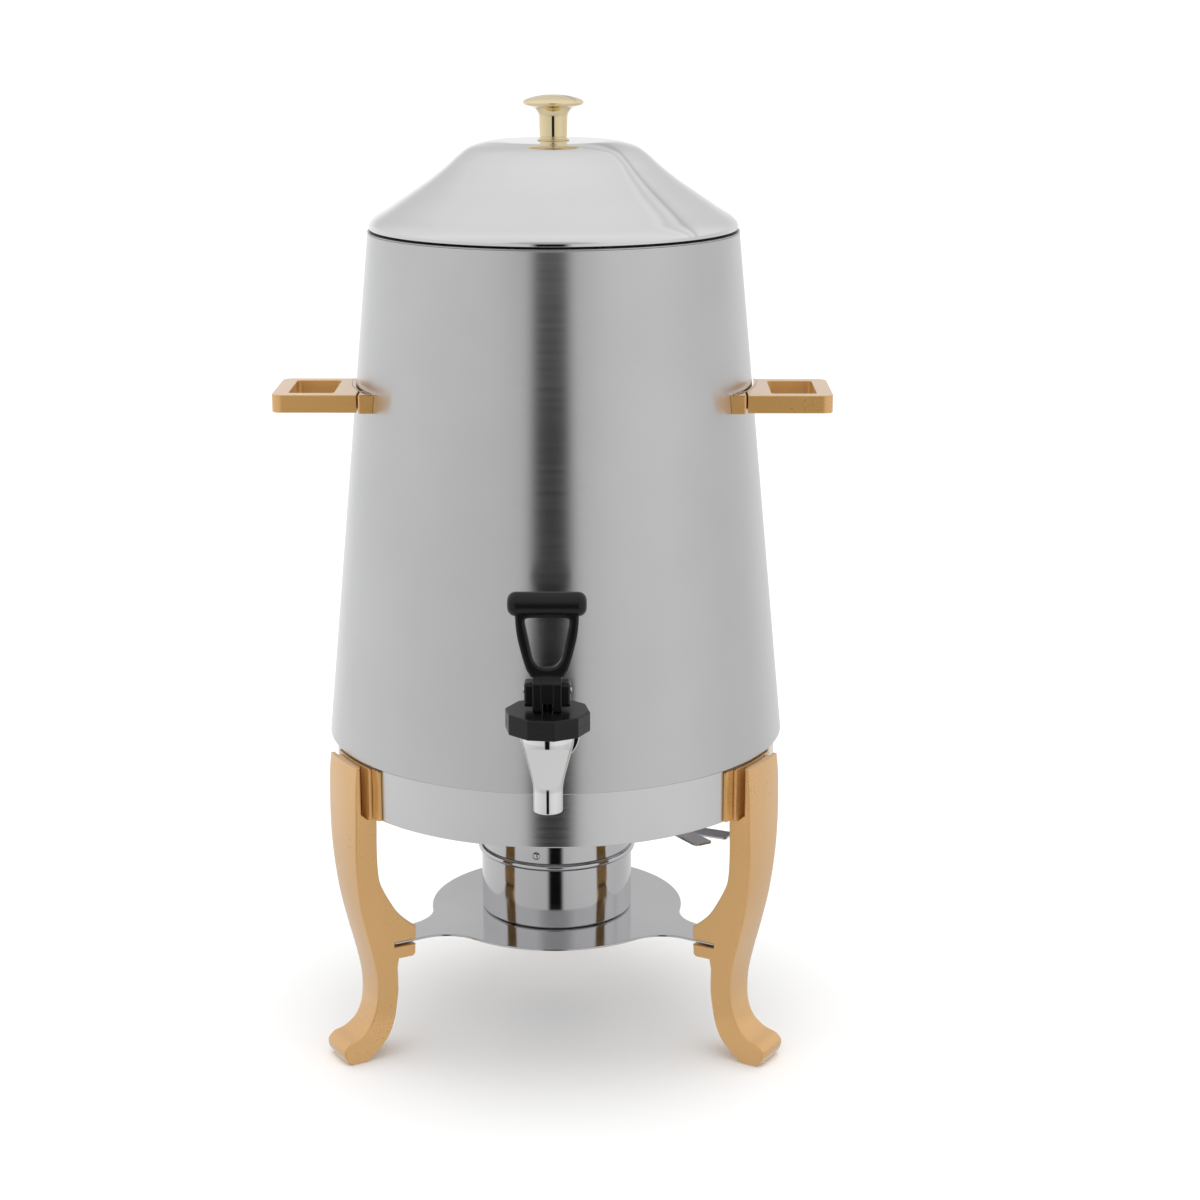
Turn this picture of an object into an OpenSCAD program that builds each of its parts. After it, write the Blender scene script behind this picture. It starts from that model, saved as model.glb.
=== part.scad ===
// Coffee urn with a lift-off tank body, a lever tap, a three-legged stand and a fuel burner.
// Millimetres, +Z up. The origin lies on the floor, on the urn's own upright axis.
// The tap points along -Y.

/* [Urn body] */
// Outer radius of the body at its lower edge
body_bottom_r = 135.4; // [125:0.5:145]
// Outer radius of the body at its upper edge
body_top_r = 106.9; // [98:0.5:112]
// Height of the body's lower edge above the floor
body_bottom_z = 187.2; // [180:1:200]
// Height of the body from its lower to its upper edge
body_h = 295.8; // [270:1:320]
// Thickness of the sheet steel of the body and the tank
sheet_t = 0.8; // [0.6:0.1:1.2]
// Air gap between the outer body and the tank
tank_gap = 7; // [6:0.5:9]
// Height of the tank's floor above the body's lower edge
tank_floor_up = 12.8; // [11:0.2:14]
// Radius of the opening in the base plate that lets the flame reach the tank
base_hole_r = 70; // [50:1:80]

/* [Lid] */
// Height of the lid from its lower edge to its flat top
lid_h = 49.2; // [45:0.5:60]
// Thickness of the lid's steel
lid_t = 1.2; // [0.8:0.1:1.6]
// Dark groove between the lid's edge and the body
lid_groove = 1.3; // [0.8:0.1:2]
// Depth of the ring under the lid that centres it in the tank's mouth
lid_ring_h = 9; // [6:0.5:14]
// Height of the knob above the lid's flat top
knob_h = 25.7; // [18:0.1:28]
// Radius of the knob's cap
knob_r = 17.4; // [14:0.2:20]
// Radius of the knob's stem
knob_stem_r = 7.9; // [6:0.1:9]
// Radius of the washer under the knob
knob_washer_r = 9.2; // [8.6:0.2:17]

/* [Handles] */
// Height of the handles' flat top above the floor
handle_top_z = 396.5; // [350:1:420]
// Thickness of the handles, top to bottom
handle_t = 10.2; // [8:0.2:14]
// Reach of the handles beyond the body
handle_reach = 43; // [40:0.5:55]
// Size of the handles from front to back
handle_w = 59; // [54:1:66]
// Distance of the handles' middle in front of the urn's axis
handle_forward = 25.5; // [15:0.5:28]
// Width of the bar along the outer edge
handle_outer_bar = 9; // [7:0.5:11]
// Width of the bars at the front and back
handle_side_bar = 7.5; // [6:0.5:9]
// Thickness of the curved saddle between the handle and the body
saddle_t = 1.4; // [1.2:0.1:3]
// Thickness of the saddle's nose, where its outer face is flat
saddle_nose_t = 10.2; // [8:0.1:12]
// Length by which the saddle runs past the handle, front and back
saddle_over = 2.5; // [1.5:0.1:5]
// Radius of the handles' outer corners
handle_corner_r = 6; // [3:0.5:8]

/* [Tap] */
// Distance from the body's wall to the axis of the spout, at the height of the shank
tap_reach = 40; // [38:0.5:50]
// Height of the shank above the body's lower edge
shank_up = 35.8; // [34:0.2:40]
// Radius of the threaded shank
shank_r = 8; // [7.4:0.1:9]
// Radius of the water way through the shank
shank_bore_r = 5.5; // [4:0.1:6]
// Outer radius of the spout
spout_r = 8; // [7.5:0.05:9]
// Radius of the water way in the spout
spout_bore_r = 6.5; // [5:0.1:7]
// Length of the spout below the shank
spout_drop = 32; // [28:0.5:36]
// Radius of the tap's barrel under the bonnet
barrel_r = 14.2; // [13.4:0.1:15]
// Radius of the valve chamber inside the barrel
chamber_r = 9.4; // [8.8:0.1:10]
// Radius of the bonnet across its corners
bonnet_r = 23; // [20:0.5:26]
// Height of the bonnet
bonnet_h = 11.2; // [10.4:0.2:14]
// Number of flats around the bonnet
bonnet_flats = 10; // [8:1:12]
// Turn of the bonnet's flats as it is screwed home, in degrees
bonnet_turn = 28; // [0:1:36]
// Radius of the valve stem
stem_r = 2.5; // [2:0.1:3]
// Height of the lever's pin above the bonnet
pin_up = 10.7; // [9.6:0.1:12]
// Radius of the lever's pin
pin_r = 1.6; // [1.2:0.1:1.8]
// Width of the grip bar
grip_w = 42; // [38:1:50]
// Radius of the grip bar
grip_r = 6.5; // [6:0.1:8]
// Height of the grip bar's axis above the pin
grip_up = 47.1; // [44:0.1:54]
// Thickness of the lever's loop, front to back
loop_t = 7; // [5:0.2:8]
// Travel of the valve when the tap is fully open
valve_lift = 4; // [3:0.1:4]

/* [Stand] */
// Distance of the stand ring's outer face inside the body's lower edge
ring_inset = 3.9; // [3.4:0.1:6]
// Height of the stand ring's lower edge above the floor
ring_bottom_z = 154.6; // [145:1:162]
// Thickness of the ring's steel
ring_t = 1.5; // [1.2:0.1:2]
// Width of the ledge that the urn rests on
ring_ledge_w = 10; // [6:0.5:14]
// Reach of the feet beyond the ring
leg_reach = 18.5; // [15:0.5:22]
// Full width of a leg at its top
leg_top_w = 37.4; // [34:0.5:42]
// Height of the shelf's upper face
shelf_z = 71.4; // [66:0.5:78]
// Thickness of the shelf plate
shelf_t = 1.2; // [1:0.1:1.6]
// Radius of the shelf's three round lobes
shelf_r = 76.5; // [70:0.5:82]
// Width of the shelf's tabs
shelf_tab_w = 23; // [20:0.5:25]
// Radius of the hollow corners between lobes and tabs
shelf_fillet_r = 25; // [18:1:30]

/* [Burner] */
// Radius of the burner's can
burner_r = 45.7; // [42:0.2:48]
// Thickness of the burner's steel
burner_t = 0.9; // [0.6:0.1:1.2]
// Height of the can below its raised bead
can_h = 37; // [32:0.5:42]
// Height of the collar above the can
collar_h = 23.6; // [20:0.2:28]
// Height and reach of the raised bead
bead_h = 4.4; // [3:0.2:6]
// Gap between the fuel cup and the lip inside the can
cup_gap = 1.8; // [1:0.1:4]
// Depth of the fuel cup
cup_h = 44; // [36:1:48]
// Width of the strips of the handle and the snuffer
strip_w = 12; // [10:0.5:15]
// Thickness of the strips
strip_t = 1.2; // [1:0.1:1.6]
// Distance from the burner's axis to the snuffer's pivot
pivot_r = 72; // [68:0.5:78]
// Gap between the ends of the strips and the ring's outer face, seen from above
strip_end_gap = 17.5; // [13:0.5:24]
// Direction of the burner's handle, counted from +X
burner_turn = -24.5; // [-30:0.5:-20]
// Angle by which the snuffer stands open
snuffer_open_turn = 33; // [0:1:60]

/* [Hidden] */
$fn = 96;
// Steps around a circle where two thin curved faces lie close together
fine = 720;

// Seat between pieces of one assembly, gap between pieces that part, and running fit of a shaft
seat_gap = 0.1;
rest_gap = 0.3;
running_gap = 0.06;
// Overrun of every cut
cut_over = 1;
// Flat middle and rounded edge of a screw's head
pan_flat_share = 0.7;
pan_edge_share = 0.45;

// Colours
steel = [0.72, 0.72, 0.73];
bright_steel = [0.82, 0.82, 0.83];
gold = [0.76, 0.6, 0.39];
brass_tone = [0.87, 0.76, 0.5];
black_plastic = [0.06, 0.06, 0.065];
rubber_tone = [0.12, 0.12, 0.12];

// Body
body_top_z = body_bottom_z + body_h;
body_slope = (body_bottom_r - body_top_r) / body_h;
function body_r(z) = body_top_r + (body_top_z - z) * body_slope;
function tank_r(z) = body_r(z) - sheet_t - tank_gap;
rim_t = sheet_t;
rim_top_z = body_top_z + rim_t;
tank_floor_z = body_bottom_z + tank_floor_up;
tank_mouth_r = tank_r(body_top_z) - sheet_t;
base_plate_up = 3.4;
base_plate_z = body_bottom_z + base_plate_up;
base_plate_t = 1.2;

// Lid
lid_inset = 1;
lid_r = body_top_r - lid_inset;
lid_bottom_z = rim_top_z + lid_groove;
lid_top_z = lid_bottom_z + lid_h;
lid_ring_t = 1.2;
lid_ring_gap = 0.8;
lid_ring_r = tank_mouth_r - lid_ring_gap;
lid_seat_w = 2.4;
knob_washer_t = 0.8;
knob_base_z = lid_top_z + knob_washer_t;
knob_foot_h = 3;
knob_foot_step = 0.5;
knob_screw_r = 2.5;
knob_screw_len = 10;
knob_screw_head_r = 5;
knob_screw_head_t = 3;
// Outline of the lid from its flat top to its edge: share of the radius, share of the height
lid_shares = [
    [0.3, 1], [0.37, 0.982], [0.455, 0.926], [0.52, 0.825], [0.58, 0.708], [0.677, 0.544],
    [0.787, 0.383], [0.9, 0.219], [0.963, 0.135], [0.991, 0.08], [1, 0.035], [1, 0]
];
// Outline of the knob from its top to its foot: share of the cap's radius, share of the height
knob_shares = [
    [0, 1], [0.5, 0.993], [0.8, 0.968], [0.96, 0.925], [1, 0.875], [0.95, 0.82], [0.76, 0.735],
    [0.56, 0.64], [0.47, 0.53], [0.437, 0.4]
];

// Handles
handle_z = handle_top_z - handle_t;
handle_mid_z = handle_top_z - handle_t / 2;
saddle_r = body_r(handle_z) + saddle_t;
handle_out_x = body_r(handle_mid_z) + handle_reach;
handle_front_y = -handle_forward - handle_w / 2;
handle_back_y = handle_front_y + handle_w;
handle_inner_bar = 6.4;
finger_in_x = saddle_r + handle_inner_bar;
finger_out_x = handle_out_x - handle_outer_bar;
finger_corner_r = 2.5;
saddle_front_y = handle_front_y - saddle_over;
saddle_back_y = handle_back_y + saddle_over;
saddle_flat_x = sqrt(body_r(handle_z) * body_r(handle_z) - saddle_front_y * saddle_front_y) + saddle_nose_t;
handle_screw_r = 2;
handle_screw_head_r = 3.6;
handle_screw_head_t = 2.2;
handle_screw_apart = 24;
handle_screw_cover = 1.2;

// Tap
shank_z = body_bottom_z + shank_up;
wall_y = -body_r(shank_z);
tap_y = wall_y - tap_reach;
spout_bottom_z = shank_z - spout_drop;
spout_straight = 12;
seat_below = 4;
seat_z = shank_z - seat_below;
cup_seal_gap = 1.2;
cup_seal_r = chamber_r - cup_seal_gap;
cup_seal_h = 8;
cup_seal_t = 1.6;
// Side of the rubber cup: share of its radius, share of its height
cup_seal_shares = [[0.86, 0], [1, 0.2], [1, 0.6]];
spring_short_h = 10.3;
neck_step = 1.6;
neck_r = barrel_r - neck_step;
neck_h = 5;
neck_top_z = seat_z + rest_gap + cup_seal_h + spring_short_h + valve_lift;
barrel_top_z = neck_top_z - neck_h;
bonnet_top_z = barrel_top_z + bonnet_h;
pin_z = bonnet_top_z + pin_up;
flange_r = 16.6;
flange_t = 2.5;
gasket_inset = 2;
gasket_r = flange_r - gasket_inset;
gasket_t = 2.6;
gasket_face_y = wall_y - gasket_t;
inner_wall_y = wall_y + sheet_t + tank_gap + sheet_t;
inner_gasket_t = 2.4;
nut_over = 6;
nut_across_r = shank_r + nut_over;
nut_t = 7;
shank_over = 5;
shank_end_y = inner_wall_y + inner_gasket_t + nut_t + shank_over;
// Outline of the barrel between the spout and the bonnet: share of the way up, share of the flare
barrel_shares = [[0, 0], [0.12, 0.06], [0.28, 0.21], [0.52, 0.5], [0.78, 0.82], [0.9, 0.95], [1, 1]];
spring_wire_r = 0.5;
spring_gap = 1.4;
spring_r = stem_r + spring_gap + spring_wire_r;
spring_turns = 6;
spring_rings = 14;
spring_sides = 6;
head_r = 7.2;
head_cheek = 0.1;
head_half_w = stem_r + head_cheek;
fork_gap = 0.2;
fork_half_w = head_half_w + fork_gap;
root_half_w = 7.8;
root_half_t = 8;
ear_half_w = 12.2;
ear_half_t = 6;
root_bottom_z = bonnet_top_z + rest_gap;
ear_up = 5;
ear_top_z = pin_z + ear_up;
ear_rise = 2.3;
ear_bottom_z = root_bottom_z + ear_rise;
shoulder_drop = 3.6;
root_roof = 1.6;
root_top_z = pin_z + head_r + root_roof;
pin_stick_out = 0.9;
loop_bottom_up = 12.4;
loop_bottom_z = pin_z + loop_bottom_up;
grip_z = pin_z + grip_up;
grip_bottom_z = grip_z - grip_r;
grip_end_r = 4.6;
grip_socket = 3;
loop_inset = 4.1;
loop_top_half_w = grip_w / 2 - loop_inset;
loop_neck_half_w = 8.8;
loop_bar = 4.9;
// Outline of the loop: share of the way up from the root, share of the widening
loop_shares = [
    [0, 0], [0.06, 0.16], [0.12, 0.3], [0.27, 0.51], [0.42, 0.68], [0.575, 0.84], [0.73, 0.94], [0.88, 0.99],
    [1, 1]
];
// Outline of the gap in the loop: share of the way up, share of its half width
gap_shares = [
    [0, 0], [0.015, 0.22], [0.06, 0.42], [0.185, 0.63], [0.38, 0.745], [0.58, 0.84], [0.775, 0.93], [0.9, 0.98],
    [0.965, 0.96], [0.99, 0.88], [1, 0.72]
];

// Stand
ring_r = body_bottom_r - ring_inset;
ring_top_z = base_plate_z - rest_gap;
ring_hem = 2.4;
leg_drop = 1.6;
leg_h = body_bottom_z - leg_drop;
leg_turns = [-60, 60, 180];
bracket_t = 1.8;
bracket_half_w = 27.5;
bracket_drop = 2.2;
pad_t = 1.8;
pad_half_w = 21;
pad_r = ring_r + seat_gap + bracket_t + seat_gap;
boss_r = pad_r + pad_t + seat_gap;
leg_wall_share = 0.4;
leg_wall_r = ring_r + leg_reach * leg_wall_share;
boss_half_w = 12;
ledge_z = ring_bottom_z - rest_gap;
ledge_rise = 4.6;
tab_share = 1.52;
tab_r = ring_r - leg_reach * tab_share;
tab_up = 9.4;
tab_down = 9.8;
tab_chamfer = 1.6;
slot_h = 2.8;
slot_depth = 13.6;
slot_r = tab_r + slot_depth;
slot_mid_z = shelf_z - shelf_t / 2;
slot_end_gap = 0.8;
shelf_tab_r = slot_r - slot_end_gap;
fillet_bite = 0.02;
shelf_bolt_r = 2;
shelf_bolt_in = 6;
shelf_bolt_at_r = tab_r + shelf_bolt_in;
shelf_bolt_head_r = 4;
shelf_bolt_head_h = 2.4;
shelf_bolt_up = 4;
leg_screw_r = 2.5;
leg_screw_head_r = 4.5;
leg_screw_head_t = 2.6;
leg_screw_z = (ring_bottom_z + body_bottom_z) / 2;
leg_screw_cover = 1.2;
// Outer outline of a leg from the toe to the top: share of the reach past the ring, share of the height
leg_outer_shares = [
    [0.995, 0.052], [0.81, 0.072], [0.42, 0.085], [0.06, 0.116], [-0.16, 0.166], [-0.225, 0.222],
    [-0.195, 0.278], [-0.04, 0.354], [0.19, 0.444], [0.42, 0.548], [0.56, 0.667], [0.606, 0.783],
    [0.585, 0.93], [0.52, 1]
];
// Inner outline of a leg above the tab
leg_upper_shares = [
    [-0.12, 0.827], [-0.14, 0.722], [-0.225, 0.628], [-0.4, 0.577], [-0.85, 0.498], [-1.2, 0.46]
];
// Inner outline of a leg below the tab, down to the floor
leg_lower_shares = [
    [-0.905, 0.3], [-0.94, 0.25], [-0.945, 0.205], [-0.86, 0.135], [-0.66, 0.087], [-0.37, 0.05],
    [0.05, 0.014], [0.24, 0]
];
// Rounded toe, from the floor up
toe_shares = [[0.72, 0], [0.86, 0.007], [0.96, 0.022], [1, 0.037]];
// Half width of a leg at each share of its height, as a share of its half width at the top
leg_width_shares = [
    [0, 0.68], [0.06, 0.665], [0.12, 0.575], [0.17, 0.575], [0.23, 0.63], [0.35, 0.72], [0.54, 0.79],
    [0.67, 0.89], [0.8, 0.985], [0.92, 1], [1, 0.995]
];

// Burner
burner_base_z = shelf_z + seat_gap;
bead_z = burner_base_z + can_h;
collar_top_z = bead_z + collar_h;
bead_reach = 2.2;
collar_lap = 3;
cup_wall = 1.2;
cup_r = burner_r - 2 * burner_t - seat_gap - cup_gap;
cup_base_z = burner_base_z + burner_t + seat_gap;
cup_rim = 1.6;
strip_top_z = collar_top_z;
strip_end_r = ring_r - strip_end_gap;
strip_reach = strip_end_r - pivot_r;
lug_h = 11;
lug_t = 1.4;
snuffer_z = collar_top_z + rest_gap;
snuffer_over = 0.6;
snuffer_r = burner_r + snuffer_over;
rivet_r = 2;
rivet_head_r = 3.6;
rivet_head_t = 1.2;
screw_r = 1.5;
screw_head_r = 2.4;
screw_head_t = 1.2;
collar_screw_up = 9;
collar_screw_turns = [-104, 16, 136];
burner_screw_len = 2.6;
pivot = [pivot_r * cos(burner_turn), pivot_r * sin(burner_turn), 0];
snuffer_turn = burner_turn - snuffer_open_turn;

// One point of a smooth curve through p[i] and p[i + 1], at share t of the way
function curve_point(p, i, t) =
    let (a = p[max(i - 1, 0)], b = p[i], c = p[i + 1], d = p[min(i + 2, len(p) - 1)])
    0.5 * (2 * b + (c - a) * t + (2 * a - 5 * b + 4 * c - d) * t * t
        + (3 * b - a - 3 * c + d) * t * t * t);

// Smooth curve through all points, with n steps between neighbours
function curve(p, n) = concat(
    [for (i = [0 : len(p) - 2]) for (k = [0 : n - 1]) curve_point(p, i, k / n)],
    [p[len(p) - 1]]);

// The same points in the other order
function reversed(p) = [for (i = [len(p) - 1 : -1 : 0]) p[i]];

// Unit vector square to the curve at point i, on its right-hand side
function side_of(p, i) =
    let (d = p[min(i + 1, len(p) - 1)] - p[max(i - 1, 0)])
    [d[1], -d[0]] / norm(d);

// The curve moved sideways by a distance
function moved(p, distance) = [for (i = [0 : len(p) - 1]) p[i] + side_of(p, i) * distance];

// Ring with a wall, standing on height z
module ring(r_out, r_in, z, h) {
    translate([0, 0, z])
        difference() {
            cylinder(r = r_out, h = h);
            translate([0, 0, -cut_over]) cylinder(r = r_in, h = h + 2 * cut_over);
        }
}

// Cylinder along +Y that starts at y
module rod_y(r, y, len, z) {
    translate([0, y, z]) rotate([-90, 0, 0]) cylinder(r = r, h = len);
}

// Solid of revolution inside the body's cone, moved inwards by a gap
module body_cone(gap, z_low, z_high) {
    rotate_extrude($fn = fine)
        polygon([[0, z_low], [body_r(z_low) - gap, z_low], [body_r(z_high) - gap, z_high], [0, z_high]]);
}

// Conical sheet between two heights
module cone_sheet(r_low, r_high, z_low, z_high, t) {
    rotate_extrude()
        polygon([[r_low - t, z_low], [r_low, z_low], [r_high, z_high], [r_high - t, z_high]]);
}

// Pan-headed screw along +X, its head's face at x = 0 and the head on the -X side
module screw_x(r, len, head_r, head_t) {
    rotate([0, 90, 0]) {
        cylinder(r = r, h = len);
        translate([0, 0, -head_t])
            rotate_extrude()
                polygon([
                    [0, 0], [head_r * pan_flat_share, 0], [head_r, head_t * pan_edge_share],
                    [head_r, head_t], [0, head_t]
                ]);
    }
}

// Lid: outline curve in real sizes
lid_curve = curve([for (s = lid_shares) [s[0] * lid_r, lid_bottom_z + s[1] * lid_h]], 4);

module lid_shell() {
    inside = moved(lid_curve, lid_t);
    last = len(inside) - 1;
    color(bright_steel)
        difference() {
            rotate_extrude()
                polygon(concat(
                    [[0, lid_top_z]],
                    lid_curve,
                    [[lid_r - lid_t, lid_bottom_z]],
                    reversed([for (i = [1 : last - 1]) [max(inside[i][0], 0), inside[i][1]]]),
                    [[0, lid_top_z - lid_t]]));
            translate([0, 0, lid_top_z - lid_t - cut_over])
                cylinder(r = knob_screw_r + seat_gap, h = lid_t + 2 * cut_over);
        }
}

// Centring ring under the lid, with the seat that lies on the tank's rim
module lid_ring() {
    seat_top_z = lid_bottom_z + lid_seat_w;
    seat_out_r = lid_r - lid_t - 3 * seat_gap;
    color(steel)
        rotate_extrude()
            polygon([
                [lid_ring_r - lid_ring_t, rim_top_z - lid_ring_h],
                [lid_ring_r, rim_top_z - lid_ring_h],
                [lid_ring_r, rim_top_z + rest_gap],
                [seat_out_r - lid_seat_w, rim_top_z + rest_gap],
                [seat_out_r, lid_bottom_z],
                [seat_out_r, seat_top_z],
                [seat_out_r - lid_ring_t, seat_top_z],
                [seat_out_r - lid_seat_w - lid_ring_t, rim_top_z + rest_gap + lid_ring_t],
                [lid_ring_r - lid_ring_t, rim_top_z + rest_gap + lid_ring_t]
            ]);
}

module lid_knob() {
    points = curve([for (s = knob_shares) [s[0] * knob_r, lid_top_z + s[1] * knob_h]], 4);
    color(brass_tone)
        difference() {
            rotate_extrude()
                polygon(concat(
                    [for (p = points) [max(p[0], 0), p[1]]],
                    [[knob_stem_r, knob_base_z + knob_foot_h],
                     [knob_stem_r + knob_foot_step, knob_base_z + knob_foot_h],
                     [knob_stem_r + knob_foot_step, knob_base_z + seat_gap],
                     [0, knob_base_z + seat_gap]]));
            translate([0, 0, knob_base_z])
                cylinder(r = knob_screw_r + seat_gap, h = knob_screw_len);
        }
}

module knob_washer() {
    color(gold) ring(knob_washer_r, knob_screw_r + seat_gap, lid_top_z + seat_gap, knob_washer_t - seat_gap);
}

module knob_screw() {
    face_z = lid_top_z - lid_t - seat_gap;
    color(steel)
        union() {
            translate([0, 0, face_z]) cylinder(r = knob_screw_r, h = knob_screw_len);
            translate([0, 0, face_z - knob_screw_head_t]) cylinder(r = knob_screw_head_r, h = knob_screw_head_t);
        }
}

// Screw holes of both handles, through the body's wall
module handle_screw_holes(x_from, len, gap) {
    for (i = [-1, 1])
        translate([x_from, -handle_forward + i * handle_screw_apart / 2, handle_mid_z])
            rotate([0, 90, 0]) cylinder(r = handle_screw_r + gap, h = len);
}

module outer_shell() {
    color(steel)
        difference() {
            cone_sheet(body_bottom_r, body_top_r, body_bottom_z, body_top_z, sheet_t);
            rod_y(shank_r + rest_gap, wall_y - 2 * cut_over, tank_gap, shank_z);
            for (side = [0, 1])
                mirror([side, 0, 0])
                    handle_screw_holes(body_r(handle_mid_z) / 2, body_r(handle_mid_z), seat_gap);
        }
}

// Tank with a rim that lies on the body's upper edge
module inner_tank() {
    floor_r = tank_r(tank_floor_z);
    top_r = tank_r(body_top_z);
    color(steel)
        difference() {
            rotate_extrude()
                polygon([
                    [0, tank_floor_z], [floor_r, tank_floor_z], [top_r, body_top_z + seat_gap],
                    [body_top_r, body_top_z + seat_gap], [body_top_r, rim_top_z],
                    [tank_mouth_r, rim_top_z], [floor_r - sheet_t, tank_floor_z + sheet_t],
                    [0, tank_floor_z + sheet_t]
                ]);
            rod_y(shank_r + rest_gap, wall_y, 3 * tank_gap, shank_z);
        }
}

// Base plate inside the body's lower edge, with a collar up to the tank's floor
module base_plate() {
    out_r = body_r(base_plate_z + base_plate_t) - sheet_t - seat_gap;
    collar_top = tank_floor_z - seat_gap;
    color(steel)
        rotate_extrude()
            polygon([
                [base_hole_r, base_plate_z], [out_r, base_plate_z], [out_r, base_plate_z + base_plate_t],
                [base_hole_r + base_plate_t, base_plate_z + base_plate_t],
                [base_hole_r + base_plate_t, collar_top], [base_hole_r, collar_top]
            ]);
}

// Rectangle with round corners, given by two opposite corners
module round_box_2d(low, high, r) {
    translate([low[0] + r, low[1]]) square([high[0] - low[0] - 2 * r, high[1] - low[1]]);
    translate([low[0], low[1] + r]) square([high[0] - low[0], high[1] - low[1] - 2 * r]);
    for (x = [low[0] + r, high[0] - r])
        for (y = [low[1] + r, high[1] - r])
            translate([x, y]) circle(r = r);
}

// Right-hand handle: a flat loop whose inner end follows the saddle
module handle() {
    color(gold)
        difference() {
            translate([0, 0, handle_z])
                linear_extrude(handle_t)
                    difference() {
                        round_box_2d([0, handle_front_y], [handle_out_x, handle_back_y], handle_corner_r);
                        round_box_2d(
                            [finger_in_x, handle_front_y + handle_side_bar],
                            [finger_out_x, handle_back_y - handle_side_bar],
                            finger_corner_r);
                    }
            saddle_block(seat_gap, cut_over);
            handle_screw_holes(0, finger_in_x - handle_screw_cover, seat_gap);
        }
}

// Outer side of a saddle: round behind, with a flat face at its nose
module saddle_block(gap, over) {
    translate([0, 0, handle_z - over]) cylinder(r = saddle_r + gap, h = handle_t + 2 * over, $fn = fine);
    translate([0, saddle_front_y - over, handle_z - over])
        cube([saddle_flat_x + gap, saddle_back_y - saddle_front_y + 2 * over, handle_t + 2 * over]);
}

// Right-hand saddle: a curved block between the body's wall and the handle
module saddle() {
    color(gold)
        difference() {
            intersection() {
                saddle_block(0, 0);
                translate([0, saddle_front_y, handle_z])
                    cube([2 * saddle_r, saddle_back_y - saddle_front_y, handle_t]);
            }
            body_cone(-seat_gap, body_bottom_z, body_top_z);
            handle_screw_holes(0, 2 * saddle_r, seat_gap);
        }
}

module handle_screws() {
    color(steel)
        for (i = [-1, 1]) {
            y = -handle_forward + i * handle_screw_apart / 2;
            reach_y = abs(y) + handle_screw_head_r;
            inner_r = body_r(handle_mid_z + handle_screw_head_r) - sheet_t - seat_gap;
            face_x = sqrt(inner_r * inner_r - reach_y * reach_y);
            tip_x = finger_in_x - handle_screw_cover - seat_gap;
            translate([face_x, y, handle_mid_z])
                screw_x(handle_screw_r, tip_x - face_x, handle_screw_head_r, handle_screw_head_t);
        }
}

module handle_right() { handle(); }
module handle_left() { mirror([1, 0, 0]) handle(); }
module saddle_right() { saddle(); }
module saddle_left() { mirror([1, 0, 0]) saddle(); }
module handle_screws_right() { handle_screws(); }
module handle_screws_left() { mirror([1, 0, 0]) handle_screws(); }

// Tap body: spout, barrel and threaded shank in one casting
module tap_body() {
    flare_bottom_z = spout_bottom_z + spout_straight;
    flare_h = barrel_top_z - flare_bottom_z - neck_h;
    flare = curve([for (s = barrel_shares)
        [spout_r + s[1] * (barrel_r - spout_r), flare_bottom_z + s[0] * flare_h]], 3);
    color(bright_steel)
        difference() {
            union() {
                translate([0, tap_y, 0])
                    rotate_extrude()
                        polygon(concat(
                            [[0, spout_bottom_z], [spout_r, spout_bottom_z]],
                            flare,
                            [[barrel_r, barrel_top_z], [neck_r, barrel_top_z], [neck_r, neck_top_z],
                             [0, neck_top_z]]));
                rod_y(shank_r, tap_y + chamber_r / 2, shank_end_y - tap_y - chamber_r / 2, shank_z);
                rod_y(flange_r, gasket_face_y - flange_t, flange_t, shank_z);
            }
            translate([0, tap_y, spout_bottom_z - cut_over])
                cylinder(r = spout_bore_r, h = seat_z - spout_bottom_z + 2 * cut_over);
            translate([0, tap_y, seat_z])
                cylinder(r = chamber_r, h = neck_top_z - seat_z + cut_over);
            rod_y(shank_bore_r, tap_y, shank_end_y - tap_y + cut_over, shank_z);
        }
}

// Bonnet: flat-sided nut that closes the barrel and guides the stem
module tap_bonnet() {
    color(black_plastic)
        translate([0, tap_y, barrel_top_z])
            difference() {
                rotate([0, 0, bonnet_turn]) cylinder(r = bonnet_r, h = bonnet_h, $fn = bonnet_flats);
                translate([0, 0, -cut_over])
                    cylinder(r = neck_r + seat_gap, h = neck_h + seat_gap + cut_over);
                cylinder(r = stem_r + running_gap, h = bonnet_h + cut_over);
            }
}

// Rubber ring between the tap's flange and the body's wall
module tap_gasket_outer() {
    color(rubber_tone)
        difference() {
            rod_y(gasket_r, gasket_face_y + seat_gap, gasket_r, shank_z);
            rod_y(shank_r + seat_gap, gasket_face_y - cut_over, gasket_r + 3 * cut_over, shank_z);
            body_cone(-seat_gap, body_bottom_z, body_top_z);
        }
}

// Rubber ring between the tank's wall and the nut
module tap_gasket_inner() {
    end_y = inner_wall_y + inner_gasket_t;
    color(rubber_tone)
        intersection() {
            difference() {
                rod_y(gasket_r, end_y - gasket_r, gasket_r, shank_z);
                rod_y(shank_r + seat_gap, end_y - gasket_r - cut_over, gasket_r + 2 * cut_over, shank_z);
            }
            body_cone(sheet_t + tank_gap + sheet_t + seat_gap, tank_floor_z + sheet_t + seat_gap, body_top_z);
        }
}

module tap_nut() {
    start_y = inner_wall_y + inner_gasket_t + seat_gap;
    color(steel)
        difference() {
            translate([0, start_y, shank_z])
                rotate([-90, 0, 0]) cylinder(r = nut_across_r, h = nut_t, $fn = 6);
            rod_y(shank_r + seat_gap, start_y - cut_over, nut_t + 2 * cut_over, shank_z);
        }
}

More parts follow.
